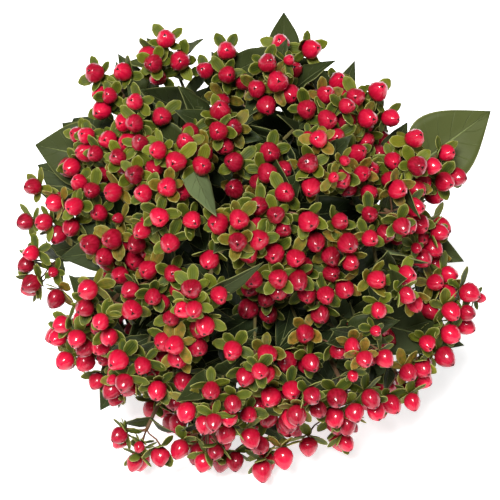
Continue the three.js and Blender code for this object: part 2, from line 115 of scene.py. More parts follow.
def across(axis):
    """Two directions square to an axis and to each other."""
    helper = UP if abs(axis.z) < 0.9 else SIDEWAYS
    first = helper.cross(axis).normalized()
    return first, axis.cross(first)


def leaning(axis, first, second, lean, turn):
    """The direction that leans from an axis, turned round it from the first direction to the second."""
    sideways = first * math.cos(turn) + second * math.sin(turn)
    return axis * math.cos(lean) + sideways * math.sin(lean)


def beside(axis, turn):
    """A direction square to an axis, turned round it."""
    return leaning(axis, *across(axis), math.pi / 2, turn)


HEAD_AXIS, HEAD_UP = forward(HEAD_TILT), forward(HEAD_TILT + 90)
SHOW_AXIS, SHOW_UP = forward(SHOW_TILT), forward(SHOW_TILT + 90)
NOD_AXIS = forward(NOD_RISE)


def show_direction(turn, lean):
    """A direction as seen from the best side: turned anticlockwise from +X, leaning from its axis."""
    return leaning(SHOW_AXIS, SIDEWAYS, SHOW_UP, math.radians(lean), math.radians(turn))


print("The best side faces", SHOW_AXIS)

# %% [markdown]
# ## Where the bunch is
#
# The stems cross the band packed like the seeds of a sunflower, which is also how a florist's hand
# packs them. The band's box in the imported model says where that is, and the head's middle lies a known
# distance in front of it. So the new pieces land exactly on the solids, with nothing to fit by eye.

# %% The band and the head's middle
STEM_COUNT = 12
CANE_RADIUS = 0.0021
CANE_PITCH = 0.00275  # spacing of the canes inside the band
TAIL_SPREAD = 1.35  # the cut ends stand this much further apart
BAND_BACK = 0.195  # band behind the head's middle
BAND_WIDTH = 0.007
BAND_GAP = 0.00035  # between the band and the canes
BAND_THICKNESS = 0.0014
BAND_CORNERS = 24  # of the solid band's outline
HEAD_HEIGHT = 0.112


def slot_place(i):
    """Where a cane crosses the band, sideways and upwards from the band's middle."""
    distance = CANE_PITCH * math.sqrt(i + 0.5)
    return Vector((distance * math.cos(i * GOLDEN_ANGLE), distance * math.sin(i * GOLDEN_ANGLE)))


SLOTS = [slot_place(i) for i in range(STEM_COUNT)]
BAND_HEIGHT = 0.75 * CANE_RADIUS - TAIL_SPREAD * min(slot.y for slot in SLOTS)


def band_outline(steps, distance):
    """Points round the canes inside the band, this far outside their middles."""
    points = []
    for k in range(steps):
        out = Vector((math.cos(2 * math.pi * k / steps), math.sin(2 * math.pi * k / steps)))
        outermost = max(SLOTS, key=lambda slot: slot.dot(out))
        points.append(outermost + out * distance)
    return points


outline_x = [point.x for point in band_outline(BAND_CORNERS, CANE_RADIUS + BAND_GAP + BAND_THICKNESS)]
band_middle = sum(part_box("rubber_band"), Vector()) / 2
HEAD_MIDDLE = Vector((
    band_middle.x - (min(outline_x) + max(outline_x)) / 2,
    band_middle.y - BAND_BACK,
    HEAD_HEIGHT,
))
print("The head's middle is at", HEAD_MIDDLE)

# %% [markdown]
# ## The camera
#
# The berries at the edge of the head look as large as those in its middle, so the camera stands well
# back and has a long lens. It looks square at the bunch's best side, and its frame is a little wider
# than the head.

# %% Camera
VIEW_WIDTH = 0.305  # what the frame takes in at the head's middle
VIEW_DISTANCE = 1.6

camera_data = bpy.data.cameras.new("camera")
camera_data.sensor_width = 36
camera_data.lens = camera_data.sensor_width * VIEW_DISTANCE / VIEW_WIDTH
camera = bpy.data.objects.new("camera", camera_data)
camera.location = HEAD_MIDDLE + SHOW_AXIS * VIEW_DISTANCE
camera.rotation_euler = (math.radians(90 - SHOW_TILT), 0, 0)
bpy.context.scene.collection.objects.link(camera)
bpy.context.scene.camera = camera
print("The lens is", round(camera_data.lens), "mm")

# %% [markdown]
# ## Sprays
#
# A spray is a fork with five or six berries round it. Sprays are spread evenly over the dome, also like
# sunflower seeds, with a ring of them round the edge as seen from the best side, because the edge gives
# the bunch its ragged outline. Hollows between the stems are places where the sprays stand deeper.

# %% Sprays over the head
HEAD_RADIUS = 0.134
HEAD_WRAP = 98  # degrees from the head's axis that the sprays cover
WOBBLE = 9  # degrees, of which a spray strays by up to half from its even spacing
LATTICE_COUNT = 68
SPRAY_DEPTH = 0.038  # the deepest sprays sit this far inside the head
RIM_KEY = 100  # the rim's sprays have the keys from here on
RIM_LEAN = 84
RIM_DEPTH = 0.027  # a rim spray's fork below its reach
RIM_GAP = 13  # degrees that the other sprays keep from the rim's
NODE_DEPTH = 0.023  # a spray's fork below its first berry
BERRY_RADIUS = 0.0056
BERRY_LENGTH = 0.0124
NOD = 1.15  # how far a spray nods forwards
NOD_CHANGE = 0.85  # and how much further the upper ones do

# The rim's sprays: turned anticlockwise from +X as seen from the best side, and how far they reach.
RIM = [
    (-9, 0.136), (25, 0.142), (44, 0.119), (60, 0.131), (79, 0.140), (98, 0.134), (114, 0.154),
    (129, 0.152), (150, 0.135), (167, 0.143), (184, 0.147), (207, 0.140), (222, 0.127), (240, 0.152),
    (257, 0.138), (273, 0.139), (296, 0.137), (320, 0.143), (333, 0.142), (346, 0.147),
]

# Hollows in the head: turn and lean from the best side's axis, depth, and width in degrees.
HOLLOWS = [(88, 28, 0.055, 11), (-43, 20, 0.045, 11), (6, 64, 0.028, 9)]


def cap_direction(i, n, wrap, wobble=0):
    """The i-th of n directions spread evenly over a cap round the head's axis."""
    lean = math.acos(1 - ((i + 0.5) / n) * (1 - math.cos(math.radians(wrap))))
    lean_off = math.radians(wobble) * (chance(i, n, 1) - 0.5)
    turn_off = math.radians(wobble) * (chance(i, n, 2) - 0.5) / max(math.sin(lean), 0.3)
    return leaning(HEAD_AXIS, SIDEWAYS, HEAD_UP, lean + lean_off, i * GOLDEN_ANGLE + turn_off)


def hollow_depth(outward):
    """How far the sprays in a direction stand back for the hollows."""
    return sum(
        depth * math.exp(-((outward.angle(show_direction(turn, lean)) / math.radians(width)) ** 2))
        for turn, lean, depth, width in HOLLOWS
    )


def make_spray(key, outward, fork_reach):
    """A spray without its berries. Its axis points outwards, but nods forwards."""
    fork = HEAD_MIDDLE + outward * fork_reach
    fork.z = max(fork.z, 2 * BERRY_RADIUS)
    axis = (outward + NOD_AXIS * (NOD + NOD_CHANGE * outward.dot(HEAD_UP))).normalized()
    return SimpleNamespace(key=key, outward=outward, axis=axis, fork=fork, berries=[])


rim_sprays = [
    make_spray(RIM_KEY + k, show_direction(turn, RIM_LEAN), reach - RIM_DEPTH)
    for k, (turn, reach) in enumerate(RIM)
]
inner_sprays = []
for j in range(LATTICE_COUNT):
    outward = cap_direction(j, LATTICE_COUNT, HEAD_WRAP, WOBBLE)
    reach = HEAD_RADIUS - SPRAY_DEPTH * chance(j, 3) ** 2 - hollow_depth(outward)
    if all(outward.angle(other.outward) > math.radians(RIM_GAP) for other in rim_sprays):
        inner_sprays.append(make_spray(j, outward, reach - NODE_DEPTH))
sprays = rim_sprays + inner_sprays
print(len(rim_sprays), "sprays on the rim and", len(inner_sprays), "inside it")

# %% [markdown]
# ## Berries find their room
#
# The first berry of a spray continues its axis, and the others stand round it. Where two berries would
# overlap, each gives way by half, over and over, until all have room, as they do in a real bunch. A
# berry that would sink into the table is lifted until it or one of its sepals rests there.

# %% Berries round each fork
BERRY_COUNTS = [5, 6.2]  # on a spray, before rounding
BERRY_SIZES = [0.9, 1.14]
SMALL_BERRY = 0.6  # the size of the few that stay small
SMALL_SHARE = 0.05
FIRST_LEAN = 8  # a spray's first berry leans by this from its axis
SIDE_LEANS = [30, 56]  # and the others by this
SIDE_REACHES = [0.015, 0.026]  # from the fork to the others' middles
UNEVEN_TURN = 0.3  # they stray by up to this from even spacing round the axis
SIDE_TURN = 0.6  # how far a berry turns towards its own stalk
SWING = 0.5  # and to any side
BERRY_GAP = 0.0008
SEPAL_REACH = 0.0116  # from a star's middle to the ends of its sepals
BERRY_REST = 0.86  # a berry's middle can come this close to the table, as a share of its radius
SEPAL_REST = 0.9  # and as a share of how far its lowest sepal reaches down
MEETING_DISTANCE = 0.04  # berries that start further apart than this never meet
SETTLING_ROUNDS = 24

for spray in sprays:
    key = spray.key
    side, other = across(spray.axis)
    count = math.floor(spread(*BERRY_COUNTS, key, 5) + 0.5)
    start = 2 * math.pi * chance(key, 6)
    for k in range(count):
        small = chance(key, k, 8) < SMALL_SHARE
        lean = math.radians(FIRST_LEAN if k == 0 else spread(*SIDE_LEANS, key, k, 9))
        turn = start + k * 2 * math.pi / (count - 1) + spread(-UNEVEN_TURN, UNEVEN_TURN, key, k, 10)
        direction = leaning(spray.axis, side, other, lean, turn)
        distance = NODE_DEPTH if k == 0 else spread(*SIDE_REACHES, key, k, 11)
        swing = beside(spray.axis, 2 * math.pi * chance(key, k, 13))
        axis = spray.axis + direction * SIDE_TURN + swing * spread(0, SWING, key, k, 14)
        spray.berries.append(SimpleNamespace(
            key=10 * key + k,
            size=SMALL_BERRY if small else spread(*BERRY_SIZES, key, k, 7),
            middle=spray.fork + direction * distance,
            axis=axis.normalized(),
        ))


def resting_height(berry):
    """How high a berry's middle is when it or one of its sepals rests on the table."""
    level = math.sqrt(1 - berry.axis.z ** 2)
    sepal_tip = (SEPAL_REACH * level + 0.5 * BERRY_LENGTH * berry.axis.z) * berry.size
    return max(BERRY_REST * BERRY_RADIUS * berry.size, SEPAL_REST * sepal_tip)


berries = [berry for spray in sprays for berry in spray.berries]
neighbours = []
for i, a in enumerate(berries):
    neighbours += [(a, b) for b in berries[i + 1:] if (b.middle - a.middle).length < MEETING_DISTANCE]
for _ in range(SETTLING_ROUNDS):
    for a, b in neighbours:
        apart = b.middle - a.middle
        wanted = BERRY_RADIUS * (a.size + b.size) + BERRY_GAP
        if apart.length < wanted:
            step = apart * (0.5 * (wanted - apart.length) / apart.length)
            a.middle -= step
            b.middle += step
    for berry in berries:
        berry.middle.z = max(berry.middle.z, resting_height(berry))
print(len(berries), "berries have found their room")

# %% [markdown]
# ## Stems
#
# Each stem carries the sprays that are nearest to its own direction. The nearest of all ends the woody
# cane, and the others branch from it in opposite pairs, which is how hypericum grows. A cane runs
# straight through the band and then bends out to its top spray.

# %% Canes and branches
STEM_WRAP = 76
CUT_BACK = 0.288  # the cut ends behind the head's middle
CUT_STAGGER = 0.012
BAND_HOLD = 0.7  # a cane stays straight to this share of the band's width on both sides of its middle
BAND_PULL = 0.08  # a cane's bend is pulled this far straight on from the band
BAND_RISE = 0.006  # and up by this
BAND_FAN = 2.2  # and apart by this share of its place in the band
TIP_PULL = 0.066  # and this far back from its tip, along its top spray's axis
CANE_STEPS = 8
NODE_STEPS = [2, 4, 5, 6, 7]  # steps along the cane where leaves and branches grow
NODE_SHIFT = 0.8  # less up to this much of a step
AXIL = 0.004  # a branch grows this far beyond the leaves of its node
BRANCH_PULL = 0.5  # a branch comes in along its spray's axis over this share of its length


def bezier(points, t):
    """The point at t, from 0 to 1, on the curve that the given points pull."""
    while len(points) > 1:
        points = [a.lerp(b, t) for a, b in zip(points, points[1:])]
    return points[0]


def make_cane(i, top):
    """A cane's straight tail, and the pulling points of its bend from the band to its top spray."""
    slot = SLOTS[i]
    behind = Vector((HEAD_MIDDLE.x, HEAD_MIDDLE.y, BAND_HEIGHT))
    through = behind + Vector((slot.x, BAND_BACK, slot.y))
    cut_back = CUT_BACK + CUT_STAGGER * (chance(i, 20) - 0.5)
    cut = behind + Vector((slot.x * TAIL_SPREAD, cut_back, slot.y * TAIL_SPREAD))
    step = ALONG * (BAND_HOLD * BAND_WIDTH)
    out = through - step
    first_pull = out + Vector((BAND_FAN * slot.x, -BAND_PULL, BAND_FAN * slot.y + BAND_RISE))
    return [cut, through + step], [out, first_pull, top.fork - top.axis * TIP_PULL, top.fork]


def node_shift(stem, node):
    """By how much of a step a node of a stem stands back from its own."""
    return NODE_SHIFT * chance(stem.index, node, 15)


def cane_node(stem, node):
    """Where a node of a stem is, and the way that the cane goes on from there."""
    before, after = (bezier(stem.bend, (NODE_STEPS[node] + k) / CANE_STEPS) for k in (-1, 0))
    return after.lerp(before, node_shift(stem, node)), (after - before).normalized()


stems = [
    SimpleNamespace(index=i, direction=cap_direction(i, STEM_COUNT, STEM_WRAP), sprays=[])
    for i in range(STEM_COUNT)
]
for spray in sprays:
    max(stems, key=lambda stem: stem.direction.dot(spray.outward)).sprays.append(spray)
for stem in stems:
    stem.sprays.sort(key=lambda spray: -spray.outward.dot(stem.direction))
    stem.top, *stem.side = stem.sprays
    stem.tail, stem.bend = make_cane(stem.index, stem.top)
    for k, spray in enumerate(stem.side):
        spray.node = max(len(NODE_STEPS) - 1 - k // 2, 1)
        middle, onward = cane_node(stem, spray.node)
        root = middle + onward * AXIL
        pull = BRANCH_PULL * (spray.fork - root).length
        spray.bend = [root, spray.fork - spray.axis * pull, spray.fork]
print("The stems carry", [len(stem.sprays) for stem in stems], "sprays")

# %% [markdown]
# ## Shaping by selection
#
# All shapes below start as a primitive and are shaped in edit mode, as by hand. In place of a mouse, a
# test picks the vertices by where they are, and they are then resized and moved together.

# %% Picking and moving vertices
def only(*pieces):
    """Selects these pieces and nothing else, and makes the first one active."""
    bpy.ops.object.select_all(action="DESELECT")
    for piece in pieces:
        piece.select_set(True)
    bpy.context.view_layer.objects.active = pieces[0]


def started(name, add, **settings):
    """A new primitive, with nothing else selected."""
    bpy.ops.object.select_all(action="DESELECT")
    add(**settings)
    bpy.context.object.name = name
    return bpy.context.object


def shape(piece, picked=lambda co: True, resize=(1, 1, 1), move=(0, 0, 0)):
    """Resizes the vertices that pass a test about the origin, and then moves them."""
    only(piece)
    piece.data.polygons.foreach_set("select", [False] * len(piece.data.polygons))
    piece.data.edges.foreach_set("select", [False] * len(piece.data.edges))
    piece.data.vertices.foreach_set("select", [picked(vertex.co) for vertex in piece.data.vertices])
    bpy.ops.object.mode_set(mode="EDIT")
    bpy.ops.transform.resize(value=resize, center_override=(0, 0, 0))
    bpy.ops.transform.translate(value=move)
    bpy.ops.object.mode_set(mode="OBJECT")


def mark(piece, name, values):
    """Gives each vertex a number that the piece's finish can read."""
    marks = piece.data.attributes.get(name) or piece.data.attributes.new(name, "FLOAT", "POINT")
    marks.data.foreach_set("value", np.broadcast_to(values, len(piece.data.vertices)).astype(np.float32))


def join(name, pieces):
    """Makes one piece of several."""
    only(*pieces)
    bpy.ops.object.join()
    pieces[0].name = name
    pieces[0].data.name = name
    return pieces[0]


print("Edit mode starts with", bpy.context.scene.tool_settings.mesh_select_mode[:], "as its select mode")

# %% [markdown]
# ## One berry
#
# A hypericum berry is a glossy capsule of three chambers. It is egg-shaped and widest near its middle,
# and three shallow seams run from its base to a small pit at its tip. It starts as a sphere of few
# faces, because it is repeated hundreds of times. Each ring of vertices is moved to its height on the
# egg and resized to its width there. The three vertices on the seams are drawn in and those between them
# pushed out, so the berry is a little three-cornered. The ring next to the tip becomes the pit's rim.

# %% Berry
BERRY_SEGMENTS = 12
BERRY_RINGS = 7
PIT_DEPTH = 0.0012
RIDGE = 1.04  # the chambers' backs stand out by this factor

# Height and width of each ring as shares of half a berry, and how far in the seams are drawn there.
BERRY_PROFILE = [
    (0.98, 0.18, 0.50), (0.79, 0.47, 0.78), (0.42, 0.82, 0.87), (-0.06, 1.02, 0.92),
    (-0.50, 0.94, 0.95), (-0.85, 0.58, 1.00),
]


def seam_wave(co):
    """A wave round the berry that is 1 on its seams and -1 on the backs of its chambers."""
    return math.cos(3 * math.atan2(co.y, co.x))


add_sphere = bpy.ops.mesh.primitive_uv_sphere_add
ball = {"segments": BERRY_SEGMENTS, "ring_count": BERRY_RINGS, "radius": BERRY_RADIUS}
berry_model = started("berry_model", add_sphere, **ball)
shape(berry_model, resize=(1, 1, 0.5 * BERRY_LENGTH / BERRY_RADIUS))
for k, (height, width, drawn) in enumerate(BERRY_PROFILE):
    angle = math.pi * (k + 1) / BERRY_RINGS
    level = 0.5 * BERRY_LENGTH * math.cos(angle)
    wider = width / math.sin(angle)

    def in_ring(co):
        return abs(co.z - level) < 1e-5

    shape(berry_model, lambda co: in_ring(co) and seam_wave(co) > 0.9, resize=(drawn, drawn, 1))
    shape(berry_model, lambda co: in_ring(co) and seam_wave(co) < -0.9, resize=(RIDGE, RIDGE, 1))
    shape(berry_model, in_ring, resize=(wider, wider, 1), move=(0, 0, 0.5 * BERRY_LENGTH * height - level))
shape(berry_model, lambda co: co.z > 0.495 * BERRY_LENGTH, move=(0, 0, -PIT_DEPTH))
only(berry_model)
bpy.ops.object.shade_smooth()
mark(berry_model, "dried", 0)
print("A berry has", len(berry_model.data.polygons), "faces")

# %% [markdown]
# The styles are thin dry threads. Each is a three-sided cone, given its lean as it is added, and joined
# to the berry. A mark on their vertices lets the berry's finish turn them brown.

# %% Dried styles
STYLE_LENGTH = 0.0019
STYLE_RADIUS = 0.00026
STYLE_LEAN = 38  # degrees from the berry's axis
STYLE_MIDDLE = 0.4  # how far out its middle is, as a share of its length: its foot is in the pit

styles = []
for k in range(3):
    turn = 2 * math.pi * (k + 0.5) / 3
    out = leaning(UP, SIDEWAYS, ALONG, math.radians(STYLE_LEAN), turn)
    root = UP * (0.5 * BERRY_LENGTH - PIT_DEPTH)
    bpy.ops.mesh.primitive_cone_add(
        vertices=3,
        radius1=STYLE_RADIUS,
        radius2=0,
        depth=STYLE_LENGTH,
        location=root + out * (STYLE_MIDDLE * STYLE_LENGTH),
        rotation=out.to_track_quat("Z", "Y").to_euler(),
    )
    styles.append(bpy.context.object)
    bpy.ops.object.transform_apply(location=True, rotation=True, scale=True)
    mark(styles[-1], "dried", 1)
berry_model = join("berry_model", [berry_model, *styles])
print("With its styles it has", len(berry_model.data.polygons), "faces")

# %% [markdown]
# ## One sepal, and a star of five
#
# The sepals stay on when the petals have fallen. They are oval little leaves with a blunt end, and
# cupped. One is made from a flat grid of few faces: each row is moved along, made as wide as the
# sepal is there and raised for the cup, and the end's corners are drawn back to round it. Solidify gives
# it thickness. Five copies of different sizes and leans make a star, because real ones are unequal.

# %% Sepal
SEPAL_LENGTH = 0.0122
SEPAL_WIDTH = 0.0071
SEPAL_THICKNESS = 0.0003
SEPAL_CUP = 0.0006  # the edges are raised by this
SEPAL_EDGE = 0.35  # and begin at this share of its width from the midrib

# For each row from the base to the end: how far along it is, its width, and how high it is raised.
SEPAL_ROWS = [(0, 0.34, 0), (0.27, 0.80, 0), (0.54, 1, 0.0003), (0.78, 0.84, 0.0010), (1, 0.44, 0.0020)]
SEPAL_CORNERS = [(0.1, 0.022), (0.2, 0.07)]  # vertices of the end this far out are drawn back by this


def started_sheet(name, columns, rows):
    """A flat grid, one metre wide and long, that lies along Y from the origin."""
    cells = {"x_subdivisions": columns, "y_subdivisions": rows, "size": 1}
    sheet = started(name, bpy.ops.mesh.primitive_grid_add, **cells)
    shape(sheet, move=(0, 0.5, 0))
    return sheet


def solidify(piece, thickness):
    """Gives a sheet a thickness on both sides, and marks its lower side."""
    only(piece)
    shell = piece.modifiers.new("thickness", "SOLIDIFY")
    shell.thickness = thickness
    shell.offset = 0
    upper_count = len(piece.data.vertices)
    bpy.ops.object.modifier_apply(modifier=shell.name)
    below = np.arange(len(piece.data.vertices)) >= upper_count
    mark(piece, "under", below)
    bpy.ops.object.shade_smooth()


sepal_model = started_sheet("sepal_model", 4, len(SEPAL_ROWS) - 1)
for k, (along, width, raised) in enumerate(SEPAL_ROWS):
    start = k / (len(SEPAL_ROWS) - 1)

    def in_row(co):
        return abs(co.y - start) < 0.01

    shape(sepal_model, in_row, resize=(width * SEPAL_WIDTH, 1, 1), move=(0, along - start, raised))
for out, back in SEPAL_CORNERS:
    shape(sepal_model, lambda co: co.y > 0.9 and abs(co.x) > out * SEPAL_WIDTH, move=(0, -back, 0))
shape(sepal_model, lambda co: co.y > 0.2 and abs(co.x) > SEPAL_EDGE * SEPAL_WIDTH, move=(0, 0, SEPAL_CUP))
shape(sepal_model, resize=(1, SEPAL_LENGTH, 1))
solidify(sepal_model, SEPAL_THICKNESS)
print("A sepal has", len(sepal_model.data.polygons), "faces")

# %% [markdown]
# A copy gets its own mesh, and a rule that says where each of its points goes. That way, one helper
# places berries, sepals and leaves alike, and can bend them too.

# %% Copies with their own mesh
def points_of(piece):
    points = np.empty(3 * len(piece.data.vertices), np.float32)
    piece.data.vertices.foreach_get("co", points)
    return points.reshape(-1, 3)


def put(piece, rule):
    """Puts each of a piece's points where the rule says."""
    piece.data.vertices.foreach_set("co", rule(points_of(piece)).astype(np.float32).ravel())


def copied(model, rule, **marks):
    """A copy of a model with its own mesh, its points put where the rule says, and marked."""
    copy = model.copy()
    copy.data = model.data.copy()
    bpy.context.scene.collection.objects.link(copy)
    put(copy, rule)
    for name, value in marks.items():
        mark(copy, name, value)
    return copy


def standing(origin, side, axis, scale=1):
    """The rule that stands a scaled copy at a place, its own Z along the axis and its X to the side."""
    turned = np.array([side, axis.cross(side), axis]) * np.reshape(scale, (-1, 1))
    return lambda points: points @ turned + np.array(origin)


SEPAL_START = 0.0009  # from the star's middle
STAR_SIZES = [1.0, 0.84, 1.04, 0.76, 0.92]
UNEVEN_SEPALS = 0.2  # they stray by up to this from even spacing
SEPAL_ROLL = 0.35  # and roll by up to this about their own length


def make_star(name, leans):
    """Five sepals round the Z axis, each with its own size, lean up from flat and roll."""
    sepals = []
    for k, (size, lean) in enumerate(zip(STAR_SIZES, leans)):
        turn = 2 * math.pi * k / 5 + spread(-UNEVEN_SEPALS, UNEVEN_SEPALS, k, len(name))
        out = leaning(UP, SIDEWAYS, ALONG, math.pi / 2, turn)
        length = leaning(out, UP, UP, math.radians(lean), 0)
        level = length.cross(UP).normalized()
        roll = spread(-SEPAL_ROLL, SEPAL_ROLL, k, len(name), 1)
        side = level * math.cos(roll) + level.cross(length) * math.sin(roll)
        rule = standing(out * SEPAL_START, side, side.cross(length), size)
        sepals.append(copied(sepal_model, rule, pale=chance(k, len(name), 2)))
    return join(name, sepals)


star_models = [
    make_star("flat_star", [2, 12, -16, 6, -8]),
    make_star("uneven_star", [8, -42, 16, -6, -56]),
    make_star("raised_star", [26, -8, 36, -48, 14]),
    make_star("bent_back_star", [-28, -56, -10, -46, -18]),
]
print("A star has", len(star_models[0].data.polygons), "faces")

# %% [markdown]
# ## One leaf
#
# The leaves are smooth-edged and egg-shaped, widest a third of the way along, with a fold along the
# midrib and a tip that bends back. The flat model is one metre long and wide, with only its outline,
# and each copy is given its size, fold and bend by the rule that places it. The first and last rows close
# to a point, and their doubled vertices are merged. The rows stand closer together towards the base, where
# the outline turns most. Hundreds of leaves need few faces each, and the few that are placed one by one
# are copied from a finer model.

# %% Leaf
LEAF_THICKNESS = 0.00045
LEAF_SWELL = 1.61  # above 1, a leaf is widest below its middle
FOLD = 0.3
ARCH = 0.12
LOWEST_BLADE = 0.0004
EDGE_WAVES = 17  # radians of waves from base to tip


def make_leaf(name, columns, rows):
    leaf = started_sheet(name, columns, rows)
    for k in range(rows + 1):
        start = k / rows
        width = math.sin(math.pi * start)
        moved = start ** LEAF_SWELL - start
        shape(leaf, lambda co: abs(co.y - start) < 0.01, resize=(width, 1, 1), move=(0, moved, 0))
    bpy.ops.object.mode_set(mode="EDIT")
    bpy.ops.mesh.select_all(action="SELECT")
    bpy.ops.mesh.remove_doubles(threshold=1e-4)
    bpy.ops.object.mode_set(mode="OBJECT")
    solidify(leaf, LEAF_THICKNESS)
    return leaf


leaf_model = make_leaf("leaf_model", 4, 9)
fine_leaf_model = make_leaf("fine_leaf_model", 8, 18)


def blade_rule(root, direction, face, length, width, wave=0.0, curl=1.0):
    """The rule that lays a leaf from its root in a direction, with its upper side to the given face."""
    side = np.array(direction.cross(face).normalized())
    along = np.array(direction)
    normal = np.cross(side, along)

    def place(points):
        t = points[:, 1]
        out = points[:, 0] * width
        edge = np.abs(points[:, 0]) * 2
        out_of_step = 3 * np.sign(out) + 40 * wave  # other waves on the other edge and on other leaves
        ripple = wave * width * edge * np.sin(EDGE_WAVES * t + out_of_step)
        lift = FOLD * np.abs(out) - curl * ARCH * length * t ** 2 + ripple + points[:, 2]
        spots = np.array(root) + np.outer(length * t, along) + np.outer(out, side) + np.outer(lift, normal)
        spots[:, 2] = np.maximum(spots[:, 2], LOWEST_BLADE)
        return spots

    return place


print("Leaves have", [len(leaf.data.polygons) for leaf in (leaf_model, fine_leaf_model)], "faces")

# %% [markdown]
# ## Rods for canes, branches and stalks
#
# A rod is a curve with a round bevel, whose radius is given point by point, so that it can taper and
# swell at its nodes. The curve is converted to a mesh when it is whole. Canes get ten sides and thin
# stalks six, since there are hundreds of those.

# %% Rods along lines
def rods(name, lines, roundness, youth=0, closed=False):
    """One mesh of rods along lines of points with their radii. Youth turns the bark from brown to green."""
    curve = bpy.data.curves.new(name, "CURVE")
    curve.dimensions = "3D"
    curve.bevel_depth = 1
    curve.bevel_resolution = roundness
    curve.use_fill_caps = True
    for line in lines:
        spline = curve.splines.new("POLY")
        spline.points.add(len(line) - 1)
        spline.use_cyclic_u = closed
        for point, (spot, radius) in zip(spline.points, line):
            point.co = (*spot, 1)
            point.radius = radius
    piece = bpy.data.objects.new(name, curve)
    bpy.context.scene.collection.objects.link(piece)
    only(piece)
    bpy.ops.object.convert(target="MESH")
    piece = bpy.context.object
    bpy.ops.object.shade_smooth_by_angle(angle=math.radians(50))
    mark(piece, "youth", youth)
    return piece


CANE_TIP_RADIUS = 0.0012
CUT_EDGE = 0.006  # the share of the tail over which the pale cut turns into bark
CANE_POINTS = 40  # along a cane's bend
NODE_SWELLING = 0.28  # a node is thicker by this share
NODE_REACH = 0.025  # and swells over this share of the bend on each side
BRANCH_RADIUS = 0.00095
BRANCH_TAPER = [1.25, 0.9]  # its root and its end, as shares of that
BRANCH_POINTS = 9
STALK_RADIUS = 0.0005
STALK_STEP = 0.0012  # three heights, so far apart, at which stalks leave a spray
STALK_END = 0.47  # they end this share of a berry's length below its middle
STALK_PULLS = [0.4, 0.45]  # and are pulled along both axes by these shares of their reach

# Places along a stalk from 0 to 1, and how thick it is there beside its radius.
STALK_SHAPE = [(0, 1.9), (1 / 6, 1), (1 / 3, 1), (1 / 2, 1), (2 / 3, 1), (0.9, 1.25), (1, 2.4)]


def cane_line(stem):
    """Points along a cane with their radii. Each node is a short swelling."""
    nodes = [(step - node_shift(stem, node)) / CANE_STEPS for node, step in enumerate(NODE_STEPS)]
    cut, through = stem.tail
    line = [(cut, CANE_RADIUS), (cut.lerp(through, CUT_EDGE), CANE_RADIUS), (through, CANE_RADIUS)]
    for k in range(CANE_POINTS + 1):
        t = k / CANE_POINTS
        plain = CANE_RADIUS + (CANE_TIP_RADIUS - CANE_RADIUS) * t
        nearness = max(0, 1 - min(abs(t - node) for node in nodes) / NODE_REACH)
        line.append((bezier(stem.bend, t), plain * (1 + NODE_SWELLING * nearness)))
    return line


def branch_line(spray):
    shares = [k / BRANCH_POINTS for k in range(BRANCH_POINTS + 1)]
    root, end = BRANCH_TAPER
    return [(bezier(spray.bend, t), BRANCH_RADIUS * (root + (end - root) * t)) for t in shares]


def stalk_line(spray, k, berry):
    """A berry's own stalk: it leaves the spray below its fork and bends round to the berry's base."""
    base = berry.middle - berry.axis * (STALK_END * BERRY_LENGTH * berry.size)
    root = spray.fork - spray.axis * (STALK_STEP * (k % 3))
    onward, below = (pull * (base - root).length for pull in STALK_PULLS)
    bend = [root, root + spray.axis * onward, base - berry.axis * below, base]
    return [(bezier(bend, t), share * STALK_RADIUS) for t, share in STALK_SHAPE]


print("A cane's line has", len(cane_line(stems[0])), "points")

# %% [markdown]
# ## Where leaves grow
#
# Leaves grow in opposite pairs: large ones at the nodes of the canes, middling ones along the branches,
# and small ones below each fork. The inner leaves fill the dome, so that it looks dark green between
# the berries. A pair along a branch takes the turn that keeps it furthest from the berries.

# %% Leaves of a stem
LEAF_LENGTH = 0.056
LEAF_WIDTH = 0.030
LEAF_RISE = 0.55
NODE_LEAVES = [1, 1, 0.9, 0.78, 0.62]  # the sizes of the leaves at a cane's nodes
NODE_TURN = 2.1  # from one node's pair to the next, in radians
BRANCH_PAIRS = [(0.35, 0.72), (0.68, 0.56)]  # where along a branch, and their size
BRANCH_LEAF_LEAN = 52  # degrees from the branch
BRANCH_STEP = 0.05  # the branch's own direction is taken over this share of its length
PAIR_TURNS = 6  # turns that are tried
ROOM_SPOTS = [0.4, 0.7, 1]  # places along a leaf that are measured from the berries
BRACT_DROP = 0.007  # below the fork
BRACT_LENGTH = 0.019
BRACT_WIDTH = 0.011
BRACT_LEAN = 63
HOLLOW_EDGE = 0.012  # a hollow is clear of leaves where it is deeper than this
HOLLOW_FLOOR = 0.074  # and further than this from the head's middle


def room(root, direction, length):
    """How far a leaf would stay from the nearest berry."""
    spots = [root + direction * (share * length) for share in ROOM_SPOTS]
    return min((berry.middle - spot).length for berry in berries for spot in spots)


def cane_leaves(stem):
    found = []
    for node, size in enumerate(NODE_LEAVES):
        middle, onward = cane_node(stem, node)
        branches = [spray for spray in stem.side if spray.node == node]
        outward = beside(onward, NODE_TURN * node)
        if branches:
            away = branches[0].fork - middle
            outward = (away - onward * away.dot(onward)).normalized()
        for sign in (1, -1):
            direction = (onward * LEAF_RISE + outward * sign).normalized()
            found.append((middle, direction, onward, size * LEAF_LENGTH, size * LEAF_WIDTH))
    return found


